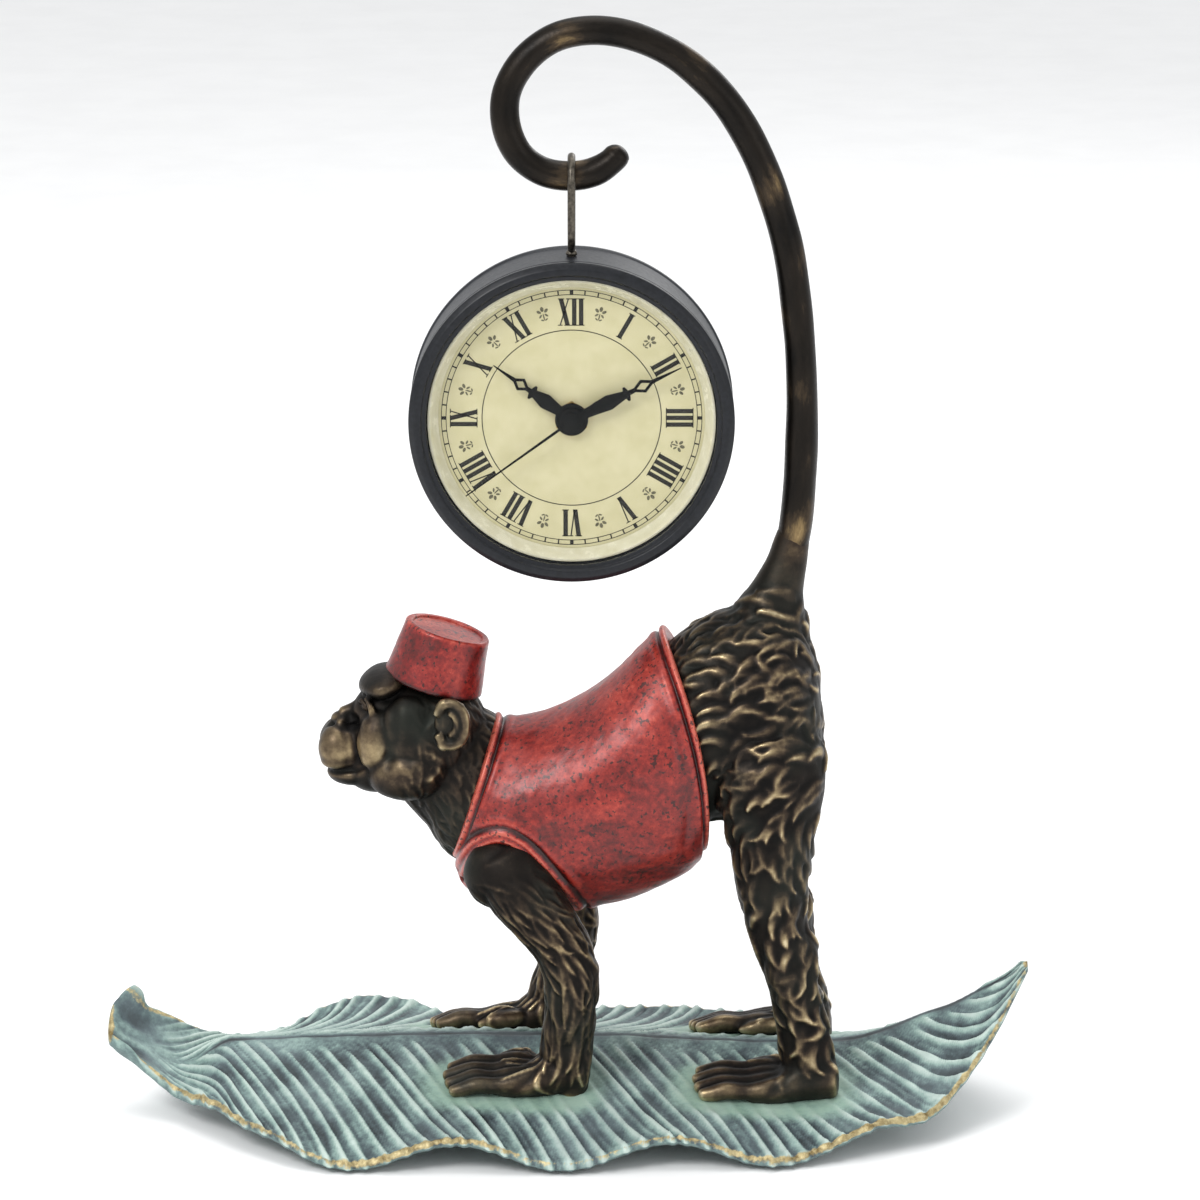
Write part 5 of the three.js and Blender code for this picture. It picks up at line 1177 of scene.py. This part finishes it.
def tail():
    rings, sides = 620, 56
    hook = [HOOK_RADIUS] * (len(TAIL_PATH) - 12) + [HOOK_RADIUS * 0.93] * 2
    thick = [TAIL_RADIUS + 0.3] * 4 + [TAIL_RADIUS] * 6 + hook
    points, quads, tris = bar([(x, 0, z) for x, z in TAIL_PATH], thick, rings, sides)
    body = points[:-2].reshape(rings, sides, 3)
    middle = body.mean(1, keepdims=True)
    run = np.append(0, np.cumsum(np.linalg.norm(np.diff(middle[:, 0], axis=0), axis=1)))
    # a domed tip, and a slight unevenness left by the modeller's hand
    to_tip = run[-1] - run
    dome = np.sqrt(np.clip(1 - np.clip(1 - to_tip / 3.4, 0, 1) ** 2, 0.002, 1))
    turn = np.linspace(0, TURN, sides, endpoint=False)
    hand_made = 0.022 * ripple(body.reshape(-1, 3), 14, 51).reshape(rings, sides)
    facets = 0.010 * np.cos(5 * turn + run[:, None] / 60)
    grow = dome[:, None] + (hand_made + facets) * (to_tip[:, None] > 2)
    body[:] = middle + (body - middle) * grow[..., None]
    # the streaks' own coordinates: short across the rod and long along it
    length = run[:, None]
    grain = np.stack([0.4 * np.cos(turn) + 0 * length, 0.4 * np.sin(turn) + 0 * length,
                      length / 38 + 0 * turn], -1)
    rubbed = 0.25 + 9 * hand_made + 0.12 * ease(9, 1, to_tip)[:, None] + 0.1 * ease(26, 8, run)[:, None]
    # no higher than the frame's own tail
    body[..., 2] = np.minimum(body[..., 2], box_mm("tail")[1][2] - 0.01)
    shape = (np.concatenate([body.reshape(-1, 3), body[[0, -1]].mean(1)]), quads, tris)
    piece("tail_rod", shape, "figure", TAIL_BRONZE, "tail_bronze", ["tail"],
          grain=np.concatenate([grain.reshape(-1, 3), grain[[0, -1], 0]]),
          rubbed=np.append(rubbed.ravel(), [0.2, 0.3]))


# ---- the hanging ring ----
BEZEL_LOW, BEZEL_HIGH = box_mm("bezel")
CLOCK_X, _, CLOCK_Z = (BEZEL_LOW + BEZEL_HIGH) / 2
CLOCK_RADIUS = (BEZEL_HIGH[0] - BEZEL_LOW[0]) / 2
CLOCK_FRONT = -BEZEL_LOW[1]
RING_LOW, RING_HIGH = box_mm("hanger_ring")
WIRE = 1.1


def ring():
    """The oval of wire, bent round and let into the top of the case by its straight shank."""
    half = RING_HIGH[1] - WIRE
    top, foot = RING_HIGH[2] - WIRE, CLOCK_Z + CLOCK_RADIUS + WIRE + 0.6
    stretch = (top - foot) / 2 - half
    turn = np.linspace(0, TURN, 120, endpoint=False)
    y, z = half * np.sin(turn), (top + foot) / 2 + half * np.cos(turn) + stretch * np.sign(np.cos(turn))
    path = np.column_stack([CLOCK_X + 0 * y, y, z])
    ahead = unit(np.roll(path, -1, axis=0) - np.roll(path, 1, axis=0))
    side = np.array([1.0, 0, 0])
    up = np.cross(ahead, side)
    round_wire = np.linspace(0, TURN, 20, endpoint=False)[None, :, None]
    loop = band(path[:, None] + WIRE * (side * np.cos(round_wire) + up[:, None] * np.sin(round_wire)))
    shank = bar([(CLOCK_X, 0, foot + 0.5), (CLOCK_X, 0, RING_LOW[2] + 0.5), (CLOCK_X, 0, RING_LOW[2])],
                [WIRE, WIRE, WIRE * 0.6], 12, 20)
    collar = turned_disc([(0.2, -0.9), (1.5, -0.9), (1.7, -0.4), (1.5, 0.1), (1.1, 0.7), (0.2, 0.7)], 32)
    weld = (collar[0] + [CLOCK_X, 0, foot - WIRE + 0.1], collar[1], collar[2])
    piece("wire_ring", together(loop, shank, weld), "hanger", BLACKENED_WIRE, "dark_wire", ["hanger_ring"])


# ---- the clock, drawn in its own frame: x right, y up, z out of the dial ----

def on_clock(shape):
    points, quads, tris = shape
    return np.column_stack([CLOCK_X + points[:, 0], -points[:, 2], CLOCK_Z + points[:, 1]]), quads, tris


def spun(shape, angle):
    """Turned clockwise about the stem, as a hand is."""
    p, quads, tris = shape
    c, s = math.cos(angle), math.sin(angle)
    return np.column_stack([c * p[:, 0] + s * p[:, 1], c * p[:, 1] - s * p[:, 0], p[:, 2]]), quads, tris


def crisp_piece(name, shape, body, material, slot, replaces):
    """A piece of the clock, drawn in its frame, with an edge wherever faces meet at over 35 degrees."""
    made = piece(name, on_clock(shape), body, material, slot, replaces)
    made.data.set_sharp_from_angle(angle=math.radians(35))


CASE_INNER = CLOCK_RADIUS - 2
VIEW_RADIUS = CLOCK_RADIUS - 5
LENS_BACK, LENS_FRONT = CLOCK_FRONT - 3.5, CLOCK_FRONT - 2.3
CASE_BACK = -box_mm("case_drum")[1][1]
CASE_FRONT = -box_mm("case_drum")[0][1]
DIAL_FACE = -box_mm("dial")[0][1]
DIAL_EDGE = VIEW_RADIUS - 0.3


def case():
    r = CLOCK_RADIUS
    outline = rounded(
        [(CASE_INNER - 2, CASE_BACK), (r, CASE_BACK), (r, CASE_BACK + 2.2), (r - 0.5, CASE_BACK + 2.9),
         (r - 0.5, CASE_FRONT - 2.6), (r, CASE_FRONT - 2), (r, CASE_FRONT), (CASE_INNER, CASE_FRONT),
         (CASE_INNER, CASE_BACK + 1.6), (CASE_INNER - 2, CASE_BACK + 1.6)],
        [0.4, 1.0, 0.5, 0.4, 0.4, 0.5, 0.3, 0.2, 0.4, 0.4])
    drill = turned_disc([(0.1, 0), (WIRE + 0.3, 0), (WIRE + 0.3, 20), (0.1, 20)], 24)
    upright = np.column_stack([drill[0][:, 0], drill[0][:, 2] + r - 8, -drill[0][:, 1]])
    drum = through_modifier(turned(outline, 180), "BOOLEAN", outward((upright, drill[1], drill[2])),
                            operation="DIFFERENCE", solver="EXACT")
    crisp_piece("case_shell", drum, "case", BLACK_PAINT, "black_paint", ["case_drum"])

    front = CLOCK_FRONT
    bezel = rounded(
        [(VIEW_RADIUS, LENS_FRONT + 0.3), (VIEW_RADIUS + 1.3, LENS_FRONT + 0.3),
         (VIEW_RADIUS + 1.3, LENS_BACK + 0.4), (r, LENS_BACK + 0.4), (r, front - 1.3), (r - 1.6, front),
         (VIEW_RADIUS + 1.7, front), (VIEW_RADIUS + 1.1, front - 0.7), (VIEW_RADIUS, front - 0.9)],
        [0, 0, 0, 0.3, 0.9, 1.2, 0.5, 0.2, 0.3])
    crisp_piece("bezel_rim", turned(bezel, 180), "insert", BEZEL_PAINT, "black_paint", ["bezel"])
    lens = rounded([(0.3, LENS_BACK), (VIEW_RADIUS + 1, LENS_BACK), (VIEW_RADIUS + 1, LENS_FRONT),
                    (0.3, LENS_FRONT)], [0, 0.2, 0.4, 0])
    crisp_piece("flat_crystal", turned_disc(lens, 128), "insert", CRYSTAL, "crystal", ["crystal"])


NUMERALS = ["XII", "I", "II", "III", "IIII", "V", "VI", "VII", "VIII", "IX", "X", "XI"]
NUMERAL_FOOT, NUMERAL_TALL = 26.6, 7.8
THICK, THIN = 1.25, 0.34
SERIF = 0.13  # half a serif's height
DIAL_RINGS = [(25.2, 25.45), (35.4, 35.6), (36.7, 36.9)]  # inside the numerals, then the minute track
MINUTE_FOOT, MINUTE_TALL = 35.45, 1.3
FLORET_RADIUS = 31


def stroke(start, end, width):
    """One pen stroke as four corners; a slanted stroke ends level, as an engraved letter's does."""
    (x0, y0), (x1, y1) = start, end
    half = width / 2 * math.hypot(x1 - x0, y1 - y0) / abs(y1 - y0)
    return [(x0 - half, y0), (x0 + half, y0), (x1 + half, y1), (x1 - half, y1)]


def serif(x, y, wide):
    half = wide / 2
    return [(x - half, y - SERIF), (x + half, y - SERIF), (x + half, y + SERIF), (x - half, y + SERIF)]


def letter(kind, x):
    """A Roman letter's strokes and how far it moves the pen."""
    foot, top = SERIF, NUMERAL_TALL - SERIF
    low, high = 0.1, NUMERAL_TALL - 0.1
    if kind == "I":
        middle = x + 0.95
        drawn = [stroke((middle, low), (middle, high), THICK),
                 serif(middle, foot, 1.9), serif(middle, top, 1.9)]
        return drawn, 1.95
    wide = 3.3
    end = x + wide
    if kind == "V":
        drawn = [stroke((x + wide / 2 + 0.15, 0), (x + 0.75, NUMERAL_TALL), THICK),
                 stroke((x + wide / 2 + 0.3, 0), (end - 0.3, NUMERAL_TALL), THIN),
                 serif(x + 0.8, top, 1.9), serif(end - 0.3, top, 1.3)]
        return drawn, wide + 0.25
    drawn = [stroke((end - 0.7, low), (x + 0.7, high), THICK),
             stroke((x + 0.5, low), (end - 0.5, high), THIN),
             serif(x + 0.75, top, 1.8), serif(end - 0.5, top, 1.3),
             serif(x + 0.5, foot, 1.3), serif(end - 0.75, foot, 1.8)]
    return drawn, wide + 0.2


def around_dial(corners, angle, radius):
    """Corners drawn upright, set at a radius and turned to a clock angle, with their feet inwards."""
    c, s = math.cos(angle), math.sin(angle)
    return [(u * c + (radius + w) * s, (radius + w) * c - u * s) for u, w in corners]


def petal(x, y, wide, tall, lean):
    """A leaning oval."""
    c, s = math.cos(lean), math.sin(lean)
    turn = np.linspace(0, TURN, 10, endpoint=False)
    u, w = wide * np.cos(turn), tall * np.sin(turn)
    return np.column_stack([x + c * u - s * w, y + s * u + c * w])


def both_petals(x, y, wide, tall, lean):
    return [petal(-x, y, wide, tall, lean), petal(x, y, wide, tall, -lean)]


def dial():
    back, bore = DIAL_FACE - 0.5, 3.6
    face = turned([(bore, back), (DIAL_EDGE, back), (DIAL_EDGE, DIAL_FACE), (bore, DIAL_FACE)], 128)
    crisp_piece("dial_plate", face, "insert", CREAM, "cream_dial", ["dial"])
    slope = rounded(
        [(VIEW_RADIUS - 3.4, DIAL_FACE + 0.3), (DIAL_EDGE, DIAL_FACE + 0.3), (DIAL_EDGE, LENS_BACK - 0.3),
         (VIEW_RADIUS - 1.0, LENS_BACK - 0.3), (VIEW_RADIUS - 1.5, LENS_BACK - 1.1),
         (VIEW_RADIUS - 2.9, DIAL_FACE + 1.1)],
        [0.1, 0.2, 0.2, 0.25, 0.5, 0.5])
    crisp_piece("dial_slope", turned(slope, 180), "insert", CREAM_RING, "cream_ring", ["dial_ring"])

    # the print stands 0.06 mm proud, so that it shows as its own piece
    low, high = DIAL_FACE - 0.02, DIAL_FACE + 0.06
    marks = []
    for inner, outer in DIAL_RINGS:
        marks.append(turned([(inner, low), (outer, low), (outer, high), (inner, high)], 180))
    for minute in range(60):
        wide = 0.5 if minute % 5 == 0 else 0.2
        corners = [(-wide, 0), (wide, 0), (wide, MINUTE_TALL), (-wide, MINUTE_TALL)]
        marks.append(plate(around_dial(corners, TURN * minute / 60, MINUTE_FOOT), low, high))
    for hour, numeral in enumerate(NUMERALS):
        strokes, pen = [], 0
        for kind in numeral:
            drawn, step = letter(kind, pen)
            strokes += drawn
            pen += step
        for corners in strokes:
            centred = [(x - pen / 2, y) for x, y in corners]
            marks.append(plate(around_dial(centred, TURN * hour / 12, NUMERAL_FOOT), low, high))
    crisp_piece("dial_print", together(*marks), "insert", DIAL_INK, "black_hand", [])

    petals = [
        petal(0, 1.35, 0.5, 0.75, 0), *both_petals(1.05, 0.75, 0.42, 0.7, 0.9),
        *both_petals(0.85, -0.55, 0.28, 0.62, -0.8), petal(0, -0.9, 0.2, 1.0, 0),
        *both_petals(0.55, -1.75, 0.22, 0.5, 1.1),
    ]
    florets = [plate(around_dial(corners, TURN * (hour + 0.5) / 12, FLORET_RADIUS), low, high)
               for hour in range(12) for corners in petals]
    crisp_piece("dial_florets", together(*florets), "insert", FLORET_INK, "cream_dial", [])


def strip(line, halves, low, high, crown):
    """A flat bar over the dial with bevelled sides and a ridge along its middle."""
    p, w = np.asarray(line, float), np.asarray(halves, float)[:, None]
    ahead = unit(np.gradient(p, axis=0))
    side = w * np.column_stack([-ahead[:, 1], ahead[:, 0]])
    ridge = high + crown * np.minimum(w / 1.2, 1)
    corners = [(p - side, low), (p + side, low), (p + side, high), (p, ridge), (p - side, high)]
    return loft(np.stack([np.column_stack([place, 0 * w + level]) for place, level in corners], 1))


def pierced_hand(long, hub, bore, level, angle):
    """A stamped hand: ridged blade, collar, open lozenge and a fine point."""
    low, high = level, level + 0.28
    cross = long * 0.5
    parts = [
        strip([(0, hub * 0.6), (0, long * 0.2), (0, long * 0.34), (0, cross)], [1.2, 1.6, 2.2, 1.0],
              low, high, 0.3),
        strip([(-2.1, cross), (-1, cross), (1, cross), (2.1, cross)], [0.3, 0.75, 0.75, 0.3], low, high, 0.3),
        strip([(0, cross), (0, long * 0.58)], [0.8, 0.62], low, high, 0.25),
        strip([(0, long * 0.72), (0, long * 0.78), (0, long)], [0.62, 0.5, 0.12], low, high, 0.2),
    ]
    for side in (-1, 1):
        lozenge = [(0, long * 0.565), (side * 1.55, long * 0.65), (0, long * 0.735)]
        parts.append(strip(lozenge, [0.42, 0.46, 0.42], low, high, 0.2))
    boss = rounded([(bore, low), (hub, low), (hub, low + 0.3), (hub - 0.8, low + 0.5), (bore, low + 0.5)],
                   [0, 0.1, 0.15, 0.1, 0])
    return spun(together(turned(boss, 64), *parts), angle)


def hands():
    minute = 10.65
    hour = 10 + minute / 60
    hour_z, minute_z, z = [-box_mm(node)[1][1] for node in ("hour_hand", "minute_hand", "second_hand")]
    hour_shape = pierced_hand(27, 4.7, 2.35, hour_z, TURN * hour / 12)
    minute_shape = pierced_hand(34.5, 3.4, 1.55, minute_z, TURN * minute / 60)
    sweep = strip([(0, -9), (0, -3), (0, 10), (0, 37)], [0.62, 0.42, 0.36, 0.16], z, z + 0.22, 0.06)
    cap = turned_disc(rounded([(0.1, z), (2.3, z), (2.3, z + 0.35), (1.3, z + 0.6), (0.1, z + 0.6)],
                              [0, 0.1, 0.2, 0.3, 0]), 48)
    second_shape = spun(together(sweep, cap), TURN * (minute % 1))
    crisp_piece("hour_pointer", hour_shape, "hour_train", HAND_BLACK, "black_hand", ["hour_hand"])
    crisp_piece("minute_pointer", minute_shape, "minute_train", HAND_BLACK, "black_hand", ["minute_hand"])
    crisp_piece("second_pointer", second_shape, "seconds_train", HAND_BLACK, "black_hand", ["second_hand"])


# ---- the frame's own pieces that stay, each in its finish ----
STOCK = {
    ZINC: ["near_hand_screw", "far_hand_screw", "near_foot_screw", "far_foot_screw", "insert_screw_1",
           "insert_screw_2", "hanger_nut"],
    FELT: ["felt_pad_1", "felt_pad_2", "felt_pad_3", "felt_pad_4"],
    ABS: ["insert_housing", "movement_base", "movement_cover", "setting_knob"],
    ACETAL: ["rotor", "intermediate_wheel", "seconds_wheel", "third_wheel", "centre_wheel", "cannon_pinion",
             "minute_work_wheel", "hour_wheel"],
    RUBBER: ["grip_ring"],
    BRASS: ["centre_nut"],
    COPPER: ["coil"],
    SOFT_IRON: ["stator"],
    BOARD: ["circuit_board"],
    NICKEL: ["quartz_can", "positive_contact", "negative_contact"],
    CELL_WRAP: ["cell"],
}


def finish_stock():
    for material, nodes in STOCK.items():
        for node in nodes:
            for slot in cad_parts[node].material_slots:
                slot.material = material


# ---- the studio ----
LOOK_DOWN = 14.41  # degrees


def lamp(name, place, size, power):
    data = bpy.data.lights.new(name, "AREA")
    data.shape = "DISK"
    data.size = size
    data.energy = power
    made = bpy.data.objects.new(name, data)
    made.location = place
    aim = np.array([0, 0, 0.15]) - place
    made.rotation_euler = (math.atan2(math.hypot(aim[0], aim[1]), -aim[2]), 0, math.atan2(-aim[0], aim[1]))
    bpy.context.collection.objects.link(made)


def studio():
    data = bpy.data.cameras.new("camera")
    data.sensor_width = 36
    data.lens = 178.95
    camera = bpy.data.objects.new("camera", data)
    # a long lens from well back, looking down on the leaf
    camera.location = (0.0095, -1.65, 0.576)
    camera.rotation_euler = (math.radians(90 - LOOK_DOWN), 0, 0)
    bpy.context.collection.objects.link(camera)
    bpy.context.scene.camera = camera

    lamp("key", (-0.75, -0.95, 1.15), 0.7, 12)
    lamp("fill", (1.1, -0.9, 0.6), 1.0, 2.5)
    lamp("overhead", (0.1, 0.25, 1.5), 1.1, 7)
    lamp("rim", (0.6, 1.1, 0.9), 0.7, 4)
    world = bpy.data.worlds.new("studio")
    world.use_nodes = True
    world.node_tree.nodes["Background"].inputs[0].default_value = linear("#f4f5f6")
    world.node_tree.nodes["Background"].inputs[1].default_value = 0.9
    bpy.context.scene.world = world
    # colours come out as they are named, without a film curve that greys the reds and the white paper
    bpy.context.scene.view_settings.view_transform = "Standard"

    sheet = bpy.data.meshes.new("floor")
    sheet.from_pydata([(-6, -6, 0), (6, -6, 0), (6, 6, 0), (-6, 6, 0)], [], [(0, 1, 2, 3)])
    paper = speckled("white_backdrop_paper", "#f8f8f8", "#fbfbfb", 40, (0.8, 0.9))
    sheet.materials.append(paper)
    floor = bpy.data.objects.new("floor", sheet)
    bpy.context.collection.objects.link(floor)


leaf()
arm("near_arm", -1, 0)
arm("far_arm", 1, FAR_HAND_FORWARD)
hindquarters()
waistcoat()
head()
fez()
tail()
ring()
case()
dial()
hands()
finish_stock()
studio()
